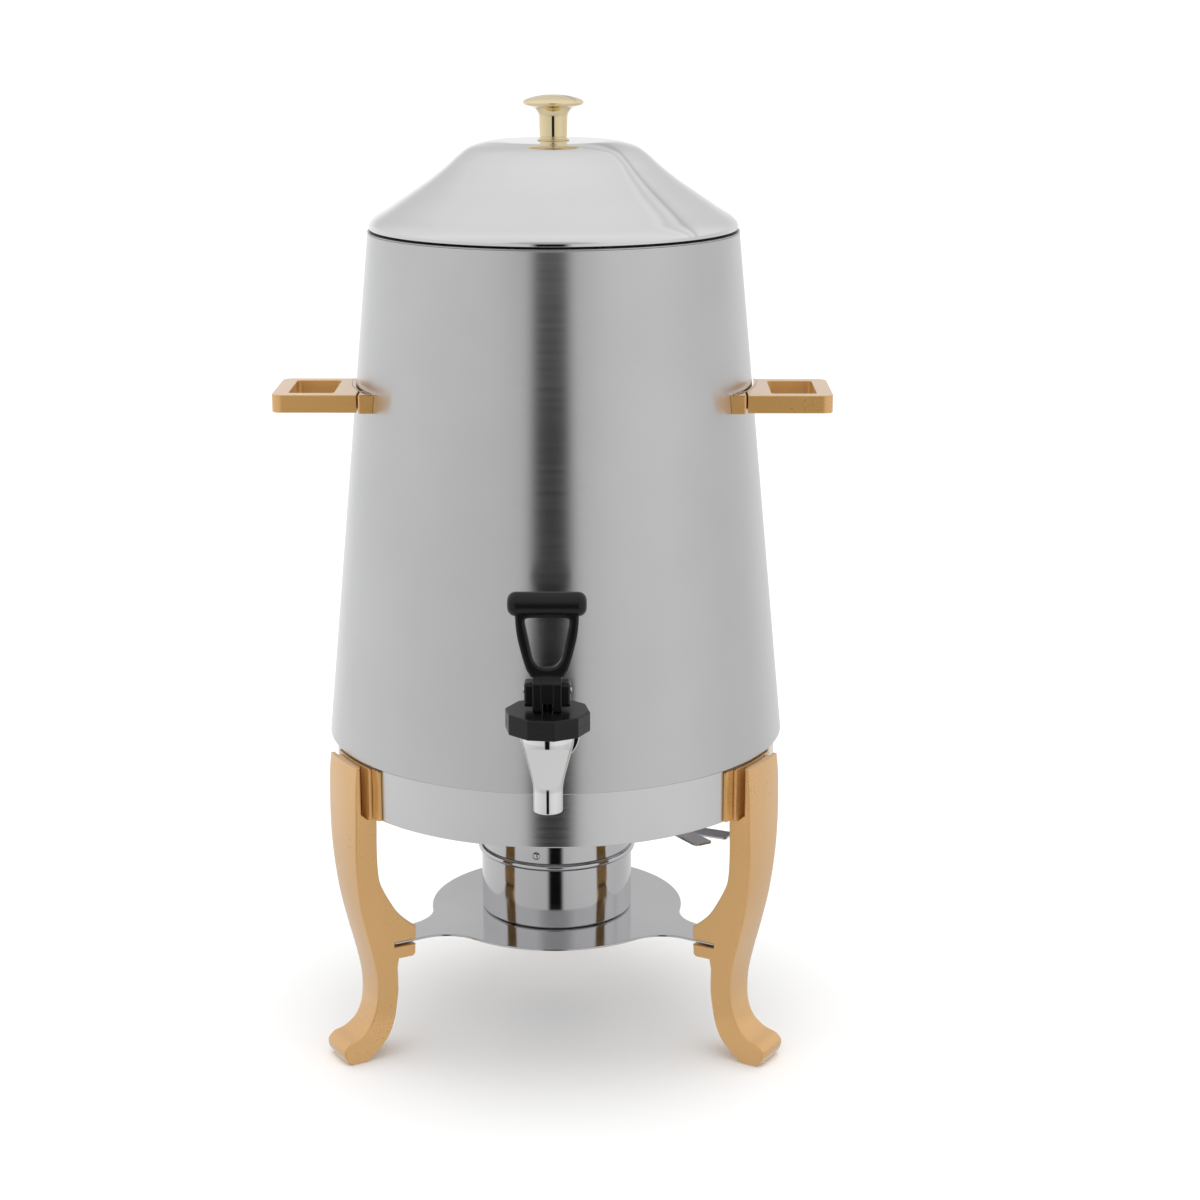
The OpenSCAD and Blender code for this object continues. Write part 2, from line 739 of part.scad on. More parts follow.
// Compression spring: one wire wound as a helix, from the seal up to the bonnet
module tap_spring() {
    low = seat_z + rest_gap + cup_seal_h + seat_gap + spring_wire_r;
    high = neck_top_z - seat_gap - spring_wire_r;
    count = spring_turns * spring_rings;
    points = [for (i = [0 : count]) for (k = [0 : spring_sides - 1])
        let (turn = 360 * i / spring_rings, a = 360 * k / spring_sides,
             r = spring_r + spring_wire_r * cos(a))
        [r * cos(turn), r * sin(turn), low + (high - low) * i / count + spring_wire_r * sin(a)]];
    sides = [for (i = [0 : count - 1]) for (k = [0 : spring_sides - 1])
        let (n = (k + 1) % spring_sides)
        [i * spring_sides + k, i * spring_sides + n, (i + 1) * spring_sides + n, (i + 1) * spring_sides + k]];
    quads = [for (f = sides) each [[f[0], f[1], f[2]], [f[0], f[2], f[3]]]];
    first = [for (k = [spring_sides - 1 : -1 : 0]) k];
    last = [for (k = [0 : spring_sides - 1]) count * spring_sides + k];
    color(steel)
        translate([0, tap_y, 0])
            polyhedron(points = points, faces = concat([for (q = quads) reversed(q)], [reversed(first)],
                [reversed(last)]));
}

// Valve stem with the round head that carries the lever's pin
module valve_stem() {
    foot_z = seat_z + rest_gap + cup_seal_t + seat_gap;
    color(black_plastic)
        translate([0, tap_y, 0])
            difference() {
                union() {
                    translate([0, 0, foot_z]) cylinder(r = stem_r, h = pin_z - foot_z);
                    translate([-head_half_w, 0, pin_z])
                        rotate([0, 90, 0]) cylinder(r = head_r, h = 2 * head_half_w);
                }
                translate([-head_half_w - cut_over, 0, pin_z])
                    rotate([0, 90, 0]) cylinder(r = pin_r + seat_gap, h = 2 * (head_half_w + cut_over));
            }
}

// Rubber cup on the foot of the stem that closes the spout
module seat_cup() {
    color(rubber_tone)
        translate([0, tap_y, seat_z + rest_gap])
            difference() {
                rotate_extrude()
                    polygon(concat(
                        [[0, 0]],
                        [for (s = cup_seal_shares) [s[0] * cup_seal_r, s[1] * cup_seal_h]],
                        [[spring_r + 2 * spring_wire_r, cup_seal_h], [0, cup_seal_h]]));
                translate([0, 0, cup_seal_t]) cylinder(r = stem_r + seat_gap, h = cup_seal_h);
            }
}

module lever_pin() {
    half = ear_half_w + pin_stick_out;
    color(steel)
        translate([-half, tap_y, pin_z]) rotate([0, 90, 0]) cylinder(r = pin_r, h = 2 * half);
}

// Outline of the lever's loop, seen from the front
loop_root = 1;
loop_low_z = root_top_z - loop_root;
loop_high_z = grip_bottom_z + grip_socket;
gap_below_grip = 0.6;
gap_high_z = grip_bottom_z - gap_below_grip;
loop_side = curve([for (s = loop_shares)
    [loop_neck_half_w + s[1] * (loop_top_half_w - loop_neck_half_w),
     loop_low_z + s[0] * (loop_high_z - loop_low_z)]], 4);
gap_side = curve([for (s = gap_shares)
    [s[1] * (loop_top_half_w - loop_bar), loop_bottom_z + s[0] * (gap_high_z - loop_bottom_z)]], 3);

// Lever: forked root, neck and open loop
module tap_lever() {
    color(black_plastic)
        translate([0, tap_y, 0])
            difference() {
                union() {
                    translate([-root_half_w, 0, 0])
                        rotate([90, 0, 90])
                            linear_extrude(2 * root_half_w)
                                polygon([
                                    [-root_half_t, root_bottom_z], [root_half_t, root_bottom_z],
                                    [root_half_t, root_top_z], [-loop_t / 2, root_top_z],
                                    [-root_half_t, root_top_z - shoulder_drop]
                                ]);
                    translate([-ear_half_w, -ear_half_t, ear_bottom_z])
                        cube([2 * ear_half_w, 2 * ear_half_t, ear_top_z - ear_bottom_z]);
                    translate([0, loop_t / 2, 0])
                        rotate([90, 0, 0])
                            linear_extrude(loop_t)
                                polygon(concat(loop_side, [for (p = reversed(loop_side)) [-p[0], p[1]]]));
                }
                translate([0, loop_t, 0])
                    rotate([90, 0, 0])
                        linear_extrude(2 * loop_t)
                            polygon(concat(gap_side, [for (p = reversed(gap_side)) [-p[0], p[1]]]));
                translate([-fork_half_w, 0, pin_z])
                    rotate([0, 90, 0]) cylinder(r = head_r + rest_gap, h = 2 * fork_half_w);
                translate([-fork_half_w, -root_half_t - cut_over, root_bottom_z - cut_over])
                    cube([2 * fork_half_w, 2 * (root_half_t + cut_over), pin_up + cut_over]);
                translate([-ear_half_w - cut_over, 0, pin_z])
                    rotate([0, 90, 0])
                        cylinder(r = pin_r + running_gap, h = 2 * (ear_half_w + cut_over));
            }
}

// Grip bar across the top of the lever, with rounded ends and a socket for the loop
module lever_grip() {
    half = grip_w / 2;
    arc = [for (a = [0 : 15 : 90])
        [grip_r - grip_end_r + grip_end_r * cos(a), half - grip_end_r + grip_end_r * sin(a)]];
    color(black_plastic)
        translate([0, tap_y, grip_z])
            difference() {
                rotate([0, 90, 0])
                    rotate_extrude()
                        polygon(concat([[0, -half]], [for (p = reversed(arc)) [p[0], -p[1]]], arc, [[0, half]]));
                translate([-loop_top_half_w - seat_gap, -loop_t / 2 - seat_gap, -grip_r - cut_over])
                    cube([
                        2 * (loop_top_half_w + seat_gap), loop_t + 2 * seat_gap,
                        grip_socket + seat_gap + cut_over
                    ]);
            }
}

// Ring of the stand, with the ledge that carries the urn and a hem along its lower edge
module stand_ring() {
    in_r = ring_r - ring_t;
    color(steel)
        difference() {
            rotate_extrude()
                polygon([
                    [ring_r, ring_bottom_z], [ring_r, ring_top_z], [in_r - ring_ledge_w, ring_top_z],
                    [in_r - ring_ledge_w, ring_top_z - ring_t], [in_r, ring_top_z - ring_t],
                    [in_r, ring_bottom_z + ring_t], [in_r - ring_hem, ring_bottom_z + ring_t],
                    [in_r - ring_hem, ring_bottom_z]
                ]);
            for (turn = leg_turns) leg_screw_hole(turn, ring_r - 3 * ring_t, 4 * ring_t);
        }
}

// Radial hole for the screw of one leg
module leg_screw_hole(turn, r_from, len) {
    rotate([0, 0, turn - 90])
        translate([r_from, 0, leg_screw_z])
            rotate([0, 90, 0]) cylinder(r = leg_screw_r + seat_gap, h = len);
}

// Side view of a leg: distance from the urn's axis, height
function leg_at(s) = [ring_r + s[0] * leg_reach, s[1] * leg_h];
leg_outer = curve([for (s = leg_outer_shares) leg_at(s)], 4);
leg_upper = curve(concat(
    [for (s = leg_upper_shares) leg_at(s)], [[tab_r, shelf_z + tab_up]]), 4);
leg_lower = curve([for (s = leg_lower_shares) leg_at(s)], 4);
leg_toe = [for (s = toe_shares) leg_at(s)];

module leg_side() {
    tab_bottom_z = shelf_z - tab_down;
    difference() {
        polygon(concat(
            leg_toe, leg_outer, [[boss_r, leg_h], [boss_r, ledge_z], [leg_upper[0][0], ledge_z]], leg_upper,
            [[tab_r, tab_bottom_z + tab_chamfer], [tab_r + tab_chamfer, tab_bottom_z],
             [leg_lower[0][0] - tab_chamfer / 2, tab_bottom_z]],
            leg_lower));
        translate([tab_r - cut_over, slot_mid_z - slot_h / 2]) square([slot_r - tab_r + cut_over, slot_h]);
    }
}

// Front view of a leg
leg_half = curve([for (s = leg_width_shares) [s[1] * leg_top_w / 2, s[0] * leg_h]], 3);

// One leg, made towards -Y and turned into place
module leg(turn) {
    color(gold)
        rotate([0, 0, turn])
            difference() {
                intersection() {
                    rotate([0, 0, -90]) rotate_extrude() leg_side();
                    rotate([90, 0, 0])
                        linear_extrude(2 * ring_r)
                            polygon(concat(
                                leg_half, [for (p = reversed(leg_half)) [-p[0], p[1]]]));
                }
                leg_recess(1);
                leg_recess(-1);
                rotate([0, 0, -turn])
                    leg_screw_hole(turn, boss_r - cut_over, leg_wall_r - boss_r + cut_over + leg_screw_cover);
                translate([0, -shelf_bolt_at_r, shelf_z - tab_down - cut_over])
                    cylinder(r = shelf_bolt_r + seat_gap, h = tab_down + shelf_bolt_up + cut_over + seat_gap);
            }
}

// Recess beside the leg's boss, behind its outer wall
module leg_recess(side) {
    turned = side > 0 ? 0 : 1;
    mirror([turned, 0, 0])
        intersection() {
            translate([boss_half_w, 0, 0])
                rotate([90, 0, 90])
                    linear_extrude(leg_top_w)
                        polygon([
                            [-boss_r + cut_over, ledge_z], [-leg_wall_r - ring_t, ledge_z + ledge_rise],
                            [-leg_wall_r - ring_t, leg_h + cut_over], [-boss_r + cut_over, leg_h + cut_over]
                        ]);
            cylinder(r = leg_wall_r, h = leg_h + 2 * cut_over);
        }
}

module leg_left() { leg(leg_turns[0]); }
module leg_right() { leg(leg_turns[1]); }
module leg_rear() { leg(leg_turns[2]); }

// Curved plate behind a leg, between two radii
module curved_plate(turn, r_in, r_out, half_w, z_low, z_high) {
    rotate([0, 0, turn])
        difference() {
            intersection() {
                ring(r_out, r_in, z_low, z_high - z_low);
                translate([-half_w, -2 * ring_r, 0]) cube([2 * half_w, 2 * ring_r, 2 * z_high]);
            }
            rotate([0, 0, -turn]) leg_screw_hole(turn, r_in - cut_over, r_out - r_in + 3 * cut_over);
        }
}

module bracket(turn) {
    color(gold)
        curved_plate(turn, ring_r + seat_gap, ring_r + seat_gap + bracket_t, bracket_half_w,
            ring_bottom_z + seat_gap, body_bottom_z - bracket_drop);
}

module pad(turn) {
    color(gold)
        curved_plate(turn, pad_r, pad_r + pad_t, pad_half_w, ledge_z + seat_gap, leg_h - seat_gap);
}

module bracket_left() { bracket(leg_turns[0]); }
module bracket_right() { bracket(leg_turns[1]); }
module bracket_rear() { bracket(leg_turns[2]); }
module pad_left() { pad(leg_turns[0]); }
module pad_right() { pad(leg_turns[1]); }
module pad_rear() { pad(leg_turns[2]); }

// Screws that hold the legs, put in from inside the ring
module leg_screws() {
    head_face_r = ring_r - ring_t - seat_gap;
    flat = head_face_r - sqrt(head_face_r * head_face_r - leg_screw_head_r * leg_screw_head_r);
    start_r = head_face_r - flat;
    tip_r = leg_wall_r + leg_screw_cover - seat_gap;
    color(steel)
        for (turn = leg_turns)
            rotate([0, 0, turn - 90])
                translate([start_r, 0, leg_screw_z])
                    screw_x(leg_screw_r, tip_r - start_r, leg_screw_head_r, leg_screw_head_t);
}

// Shelf: three lobes and three tabs joined by hollow corners
module shelf_plate() {
    half = shelf_tab_w / 2;
    centre_t = half + shelf_fillet_r;
    reach = shelf_r + shelf_fillet_r;
    centre_r = sqrt(reach * reach - centre_t * centre_t);
    touch = [centre_r, centre_t] * (shelf_r + cut_over) / reach;
    color(steel)
        translate([0, 0, shelf_z - shelf_t])
            difference() {
                union() {
                    cylinder(r = shelf_r, h = shelf_t);
                    for (turn = leg_turns)
                        rotate([0, 0, turn - 90]) {
                            translate([0, -half, 0]) cube([shelf_tab_r, shelf_tab_w, shelf_t]);
                            difference() {
                                linear_extrude(shelf_t)
                                    polygon([
                                        [shelf_r / 2, half / 2], [touch[0], touch[1]],
                                        [centre_r, half + cut_over], [centre_r, -half - cut_over],
                                        [touch[0], -touch[1]], [shelf_r / 2, -half / 2]
                                    ]);
                                for (side = [-1, 1])
                                    translate([centre_r, side * centre_t, -cut_over])
                                        cylinder(r = shelf_fillet_r + fillet_bite, h = shelf_t + 2 * cut_over);
                            }
                        }
                }
                for (turn = leg_turns)
                    rotate([0, 0, turn - 90])
                        translate([shelf_bolt_at_r, 0, -cut_over])
                            cylinder(r = shelf_bolt_r + seat_gap, h = shelf_t + 2 * cut_over);
            }
}

// Dome-headed bolts under the legs' tabs
module shelf_bolts() {
    face_z = shelf_z - tab_down - seat_gap;
    color(bright_steel)
        for (turn = leg_turns)
            rotate([0, 0, turn - 90])
                translate([shelf_bolt_at_r, 0, 0]) {
                    translate([0, 0, face_z]) cylinder(r = shelf_bolt_r, h = tab_down + shelf_bolt_up);
                    translate([0, 0, face_z])
                        rotate_extrude()
                            polygon(concat([[0, 0]], [for (a = [0 : 15 : 90])
                                [shelf_bolt_head_r * cos(a), -shelf_bolt_head_h * sin(a)]]));
                }
}

// Burner
module burner_can() {
    color(bright_steel)
        rotate_extrude()
            polygon([
                [0, burner_base_z], [burner_r - burner_t, burner_base_z],
                [burner_r, burner_base_z + burner_t], [burner_r, bead_z - seat_gap],
                [burner_r - burner_t, bead_z - seat_gap],
                [burner_r - burner_t, burner_base_z + burner_t], [0, burner_base_z + burner_t]
            ]);
}

// Collar on top of the can, with the raised bead at its foot and a lip inside the can
module burner_collar() {
    lip_r = burner_r - burner_t - seat_gap;
    bead = [for (a = [-90 : 15 : 90])
        [burner_r + bead_reach * cos(a), bead_z + bead_h / 2 + bead_h / 2 * sin(a)]];
    color(bright_steel)
        difference() {
            rotate_extrude()
                polygon(concat(
                    [[lip_r - burner_t, bead_z - collar_lap], [lip_r, bead_z - collar_lap], [lip_r, bead_z]],
                    bead,
                    [[burner_r, collar_top_z], [burner_r - burner_t, collar_top_z],
                     [burner_r - burner_t, bead_z + burner_t], [lip_r - burner_t, bead_z + burner_t]]));
            for (turn = collar_screw_turns) collar_screw_hole(turn);
            for (side = [-1, 1]) rotate([0, 0, burner_turn]) lug_screw_hole(side);
        }
}

module collar_screw_hole(turn) {
    rotate([0, 0, turn])
        translate([burner_r - 3 * burner_t, 0, bead_z + collar_screw_up])
            rotate([0, 90, 0]) cylinder(r = screw_r + seat_gap, h = 5 * burner_t);
}

module lug_screw_hole(side) {
    translate([burner_r - 3 * burner_t, side * strip_w / 4, strip_top_z - lug_h / 2])
        rotate([0, 90, 0]) cylinder(r = screw_r / 2 + seat_gap, h = 5 * burner_t + lug_t);
}

// Small screws around the collar and the rivets of the handle
module burner_screws() {
    color(steel) {
        for (turn = collar_screw_turns)
            rotate([0, 0, turn])
                translate([burner_r + seat_gap, 0, bead_z + collar_screw_up])
                    mirror([1, 0, 0]) screw_x(screw_r, burner_screw_len, screw_head_r, screw_head_t);
        for (side = [-1, 1])
            rotate([0, 0, burner_turn])
                translate([burner_r + lug_t + 2 * seat_gap, side * strip_w / 4, strip_top_z - lug_h / 2])
                    mirror([1, 0, 0])
                        screw_x(screw_r / 2, burner_screw_len, screw_head_r / 2, screw_head_t / 2);
    }
}

// Handle strip of the burner: a lug on the collar and a flat strip that carries the pivot
module burner_handle() {
    color(steel)
        rotate([0, 0, burner_turn])
            difference() {
                union() {
                    translate([0, -strip_w / 2, strip_top_z - strip_t]) cube([strip_end_r, strip_w, strip_t]);
                    translate([0, -strip_w / 2, strip_top_z - lug_h]) cube([burner_r + lug_t, strip_w, lug_h]);
                }
                translate([0, 0, burner_base_z]) cylinder(r = burner_r + seat_gap, h = 2 * collar_top_z);
                translate([pivot_r, 0, strip_top_z - strip_t - cut_over])
                    cylinder(r = rivet_r + seat_gap, h = strip_t + 2 * cut_over);
                for (side = [-1, 1]) lug_screw_hole(side);
            }
}

module fuel_cup() {
    color(steel)
        rotate_extrude()
            polygon([
                [0, cup_base_z], [cup_r - cup_rim, cup_base_z], [cup_r - cup_rim, cup_base_z + cup_h - cup_wall],
                [cup_r, cup_base_z + cup_h - cup_wall], [cup_r, cup_base_z + cup_h],
                [cup_r - cup_rim - cup_wall, cup_base_z + cup_h],
                [cup_r - cup_rim - cup_wall, cup_base_z + cup_wall], [0, cup_base_z + cup_wall]
            ]);
}

module snuffer_rivet() {
    low = strip_top_z - strip_t - seat_gap - rivet_head_t;
    high = snuffer_z + strip_t + rest_gap;
    color(bright_steel)
        translate(pivot) {
            translate([0, 0, low]) cylinder(r = rivet_r, h = high - low + rivet_head_t);
            translate([0, 0, low]) cylinder(r = rivet_head_r, h = rivet_head_t);
            translate([0, 0, high]) cylinder(r = rivet_head_r, h = rivet_head_t);
        }
}

// Snuffer: a disc that covers the burner, and the strip that swings it about the rivet
module snuffer_lid() {
    color(steel)
        translate([pivot[0], pivot[1], snuffer_z])
            rotate([0, 0, snuffer_turn])
                linear_extrude(strip_t)
                    difference() {
                        union() {
                            translate([-pivot_r, 0]) circle(r = snuffer_r);
                            translate([-pivot_r, -strip_w / 2]) square([pivot_r + strip_reach, strip_w]);
                        }
                        circle(r = rivet_r + running_gap);
                    }
}

lid_shell();
lid_ring();
lid_knob();
knob_washer();
knob_screw();
outer_shell();
inner_tank();
base_plate();
handle_left();
handle_right();
saddle_left();
saddle_right();
handle_screws_left();
handle_screws_right();
tap_body();
tap_bonnet();
tap_gasket_outer();
tap_gasket_inner();
tap_nut();
tap_spring();
valve_stem();
seat_cup();
lever_pin();
tap_lever();
lever_grip();
stand_ring();
leg_left();
leg_right();
leg_rear();
bracket_left();
bracket_right();
bracket_rear();
pad_left();
pad_right();
pad_rear();
leg_screws();
shelf_plate();
shelf_bolts();
burner_can();
burner_collar();
burner_screws();
burner_handle();
fuel_cup();
snuffer_rivet();
snuffer_lid();
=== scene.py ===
"""Coffee urn on a gold-toned stand with its burner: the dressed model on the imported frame."""

import logging
import math
from dataclasses import dataclass, field
from enum import Enum

import bmesh
import bpy
from mathutils import Matrix, Vector
from mathutils.geometry import delaunay_2d_cdt, tessellate_polygon


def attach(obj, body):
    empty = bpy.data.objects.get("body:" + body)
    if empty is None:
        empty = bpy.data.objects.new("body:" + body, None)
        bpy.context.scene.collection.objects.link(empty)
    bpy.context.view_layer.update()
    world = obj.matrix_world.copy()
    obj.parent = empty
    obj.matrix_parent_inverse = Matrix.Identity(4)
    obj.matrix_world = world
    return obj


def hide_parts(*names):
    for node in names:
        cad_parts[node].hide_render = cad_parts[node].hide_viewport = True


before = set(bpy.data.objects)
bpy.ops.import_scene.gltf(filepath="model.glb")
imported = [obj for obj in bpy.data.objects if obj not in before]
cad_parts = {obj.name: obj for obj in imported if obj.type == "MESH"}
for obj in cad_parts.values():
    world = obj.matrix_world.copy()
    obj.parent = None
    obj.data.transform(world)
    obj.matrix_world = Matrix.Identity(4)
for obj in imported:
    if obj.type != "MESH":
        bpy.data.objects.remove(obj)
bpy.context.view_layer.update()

LOG = logging.getLogger("coffee_urn")
MM = 0.001

# Limits of the shape helpers, in millimetres and radians; the two shares have no unit.
NO_LENGTH = 1e-9
HARDLY_ANY = 1e-6
NEARLY_STRAIGHT = math.radians(18)
CORNER_SHARE = 0.45
MITRE_LIMIT = 0.62

# Limits for mending a mesh, in metres.
SAME_POINT = 1e-7
NO_EDGE = 1e-8

# Settings that all finishes share.
COAT_ROUGHNESS = 0.1
COAT_IOR = 1.75
MARKS_SHARE = 0.55
ROUGHNESS_ENDS = (0.3, 0.7)
CLOUD_ENDS = (0.35, 0.7)
QUARTER_TURN = 0.25

Point2 = tuple[float, float]
Point3 = tuple[float, float, float]
Outline = list[Point2]
NodeTree = bpy.types.NodeTree
Socket = bpy.types.NodeSocket


# ---------------------------------------------------------------- shapes


@dataclass
class RawMesh:
    """Points in millimetres and the faces between them.

    Args:
        points: Corners of the mesh, in the shared frame.
        faces: Corner numbers of each face.
    """

    points: list[Point3] = field(default_factory=list)
    faces: list[tuple[int, ...]] = field(default_factory=list)

    def add(self, other: "RawMesh") -> "RawMesh":
        """Append another mesh to this one.

        Args:
            other: Mesh whose points and faces are copied.

        Returns:
            This mesh, so that calls can follow each other.
        """
        start = len(self.points)
        self.points.extend(other.points)
        self.faces.extend(tuple(start + i for i in face) for face in other.faces)
        return self

    def placed(self, matrix: Matrix) -> "RawMesh":
        """Return a copy moved and turned by a matrix."""
        return RawMesh([tuple(matrix @ Vector(p)) for p in self.points], list(self.faces))


def turn_z(degrees: float) -> Matrix:
    """Return the turn about the urn's upright axis."""
    return Matrix.Rotation(math.radians(degrees), 4, "Z")


def along(origin: Point3, direction: Point3) -> Matrix:
    """Give the matrix that lays a shape's own Z axis along a direction.

    Args:
        origin: Where the shape's own origin goes, in millimetres.
        direction: Direction of the shape's Z axis.

    Returns:
        The matrix that places the shape.
    """
    turn = Vector(direction).to_track_quat("Z", "Y").to_matrix().to_4x4()
    return Matrix.Translation(Vector(origin)) @ turn


def smooth_curve(points: Outline, steps: int) -> Outline:
    """Draw a smooth curve through points, with its ends held.

    Args:
        points: Points that the curve passes through.
        steps: Number of steps between two points.

    Returns:
        The points of the curve.
    """
    out: Outline = []
    last = len(points) - 1
    for i in range(last):
        a, b, c, d = points[max(i - 1, 0)], points[i], points[i + 1], points[min(i + 2, last)]
        for k in range(steps):
            t = k / steps
            out.append(tuple(
                0.5 * (2 * b[n] + (c[n] - a[n]) * t + (2 * a[n] - 5 * b[n] + 4 * c[n] - d[n]) * t * t
                       + (3 * b[n] - a[n] - 3 * c[n] + d[n]) * t ** 3) for n in (0, 1)))
    out.append(points[-1])
    return out


def softened(outline: Outline, radius: float, steps: int = 4, closed: bool = True) -> Outline:
    """Round the corners of an outline.

    Args:
        outline: Corner points.
        radius: Size of the rounding, cut down beside short edges.
        steps: Steps in each rounded corner.
        closed: Whether the last point joins the first.

    Returns:
        The outline with rounded corners.
    """
    out: Outline = []
    count = len(outline)
    for i, point in enumerate(outline):
        if not closed and i in (0, count - 1):
            out.append(point)
            continue
        here = Vector(point)
        back = Vector(outline[i - 1]) - here
        ahead = Vector(outline[(i + 1) % count]) - here
        if min(back.length, ahead.length) < NO_LENGTH or back.angle(-ahead) < NEARLY_STRAIGHT:
            out.append(point)
            continue
        cut = radius * math.tan(back.angle(-ahead) / 2)
        start = here + back.normalized() * min(cut, CORNER_SHARE * back.length)
        end = here + ahead.normalized() * min(cut, CORNER_SHARE * ahead.length)
        for k in range(steps + 1):
            t = k / steps
            out.append(tuple((1 - t) ** 2 * start + 2 * t * (1 - t) * here + t * t * end))
    return out


def inset(outline: Outline, depth: float) -> Outline:
    """Move the sides of a closed outline inwards.

    Args:
        outline: Outline that runs against the clock.
        depth: How far the sides move in; a negative depth moves them out.

    Returns:
        The moved outline, with the same number of points.
    """
    out: Outline = []
    count = len(outline)
    for i, point in enumerate(outline):
        before = Vector(point) - Vector(outline[i - 1])
        after = Vector(outline[(i + 1) % count]) - Vector(point)
        before = before.normalized() if before.length > NO_LENGTH else after.normalized()
        after = after.normalized() if after.length > NO_LENGTH else before
        inward = Vector((-before.y - after.y, before.x + after.x))
        if inward.length < HARDLY_ANY:
            out.append(point)
            continue
        inward.normalize()
        stretch = 1 / max(inward.dot(Vector((-after.y, after.x))), MITRE_LIMIT)
        out.append(tuple(Vector(point) + inward * depth * stretch))
    return out


def box_outline(low: Point2, high: Point2, radius: float, steps: int = 5) -> Outline:
    """Draw a rectangle with round corners, against the clock."""
    corners = [(low[0], low[1]), (high[0], low[1]), (high[0], high[1]), (low[0], high[1])]
    return softened(corners, radius, steps)


def ring_cut(inner: float, outer: float, low: float, high: float, radius: float, steps: int) -> Outline:
    """Draw the cut through a plain ring or disc, with round corners.

    Args:
        inner: Inner radius, or zero.
        outer: Outer radius.
        low: Height of the lower face.
        high: Height of the upper face.
        radius: Size of the rounding.
        steps: Steps in each rounded corner.

    Returns:
        The closed profile.
    """
    return softened([(inner, low), (outer, low), (outer, high), (inner, high)], radius, steps)


def divided(outline: Outline, longest: float) -> Outline:
    """Split the long sides of a closed outline.

    Args:
        outline: Closed outline.
        longest: Longest side that stays whole.

    Returns:
        The outline with points added on its long sides.
    """
    out: Outline = []
    for i, point in enumerate(outline):
        ahead = outline[(i + 1) % len(outline)]
        parts = max(1, math.ceil(math.dist(point, ahead) / longest))
        for k in range(parts):
            t = k / parts
            out.append((point[0] + (ahead[0] - point[0]) * t, point[1] + (ahead[1] - point[1]) * t))
    return out


def circle_outline(radius: float, steps: int, centre: Point2 = (0, 0)) -> Outline:
    """Draw a circle, against the clock."""
    return [(centre[0] + radius * math.cos(2 * math.pi * k / steps),
             centre[1] + radius * math.sin(2 * math.pi * k / steps)) for k in range(steps)]


def revolve(profile: Outline, steps: int = 96) -> RawMesh:
    """Turn a closed profile about the Z axis.

    Args:
        profile: Closed outline of radius and height.
        steps: Number of steps around the axis.

    Returns:
        The turned mesh.
    """
    raw = RawMesh()
    rows: list[list[int]] = []
    for radius, height in profile:
        if radius < HARDLY_ANY:
            rows.append([len(raw.points)] * steps)
            raw.points.append((0, 0, height))
        else:
            rows.append(list(range(len(raw.points), len(raw.points) + steps)))
            raw.points.extend((radius * math.cos(2 * math.pi * k / steps),
                               radius * math.sin(2 * math.pi * k / steps), height)
                              for k in range(steps))
    for i, row in enumerate(rows):
        above = rows[(i + 1) % len(rows)]
        for k in range(steps):
            n = (k + 1) % steps
            face = list(dict.fromkeys((row[k], row[n], above[n], above[k])))
            if len(face) > 2:
                raw.faces.append(tuple(face))
    return raw


def skin(rings: list[list[Point3]]) -> RawMesh:
    """Join closed rings of points, one after the other, with an open tube.

    Args:
        rings: Rings with the same number of points.

    Returns:
        The tube without its two caps.
    """
    raw = RawMesh([p for ring in rings for p in ring])
    count = len(rings[0])
    for j in range(len(rings) - 1):
        for i in range(count):
            n = (i + 1) % count
            raw.faces.append((j * count + i, j * count + n, (j + 1) * count + n, (j + 1) * count + i))
    return raw


def bevel_steps(bevel: float, steps: int) -> list[Point2]:
    """List the inset and the depth of each ring of a rounded edge, from the cap on."""
    return [(bevel * (1 - math.sin(math.pi / 2 * k / steps)), bevel * (1 - math.cos(math.pi / 2 * k / steps)))
            for k in range(steps + 1)]


def prism(outline: Outline, low: float, high: float, bevel: float, holes: list[Outline] | None = None,
          steps: int = 3) -> RawMesh:
    """Make a plate with rounded edges from an outline and its holes.

    Args:
        outline: Outer outline, against the clock.
        low: Height of the lower face.
        high: Height of the upper face.
        bevel: Radius of the rounded edges.
        holes: Outlines of the holes, against the clock.
        steps: Steps in each rounded edge.

    Returns:
        The closed mesh.
    """
    raw = RawMesh()
    caps: list[tuple[list[Vector], list[int], list[int]]] = []
    for loop, sign in [(outline, 1)] + [(hole, -1) for hole in holes or []]:
        rows = [(sign * i, low + d) for i, d in bevel_steps(bevel, steps)]
        rows += [(sign * i, high - d) for i, d in reversed(bevel_steps(bevel, steps))]
        rings = [[(x, y, z) for x, y in inset(loop, i)] for i, z in rows]
        start = len(raw.points)
        raw.add(skin(rings))
        count = len(loop)
        caps.append(([Vector((x, y, 0)) for x, y, _ in rings[0]],
                     list(range(start, start + count)),
                     list(range(start + (len(rows) - 1) * count, start + len(rows) * count))))
    lows = [i for _, lower, _ in caps for i in lower]
    highs = [i for _, _, upper in caps for i in upper]
    for tri in tessellate_polygon([loop for loop, _, _ in caps]):
        raw.faces.append(tuple(lows[i] for i in tri))
        raw.faces.append(tuple(highs[i] for i in reversed(tri)))
    return raw


def filled(outline: Outline) -> list[tuple[int, ...]]:
    """Fill an outline with well-shaped triangles between its own points.

    Args:
        outline: Closed outline that doesn't cross itself.

    Returns:
        Triangles as numbers of the outline's points.
    """
    result = delaunay_2d_cdt([Vector(p) for p in outline], [], [list(range(len(outline)))], 1, HARDLY_ANY)
    owners = [origin[0] if origin else -1 for origin in result[3]]
    return [tuple(owners[i] for i in tri) for tri in result[2] if all(owners[i] >= 0 for i in tri)]


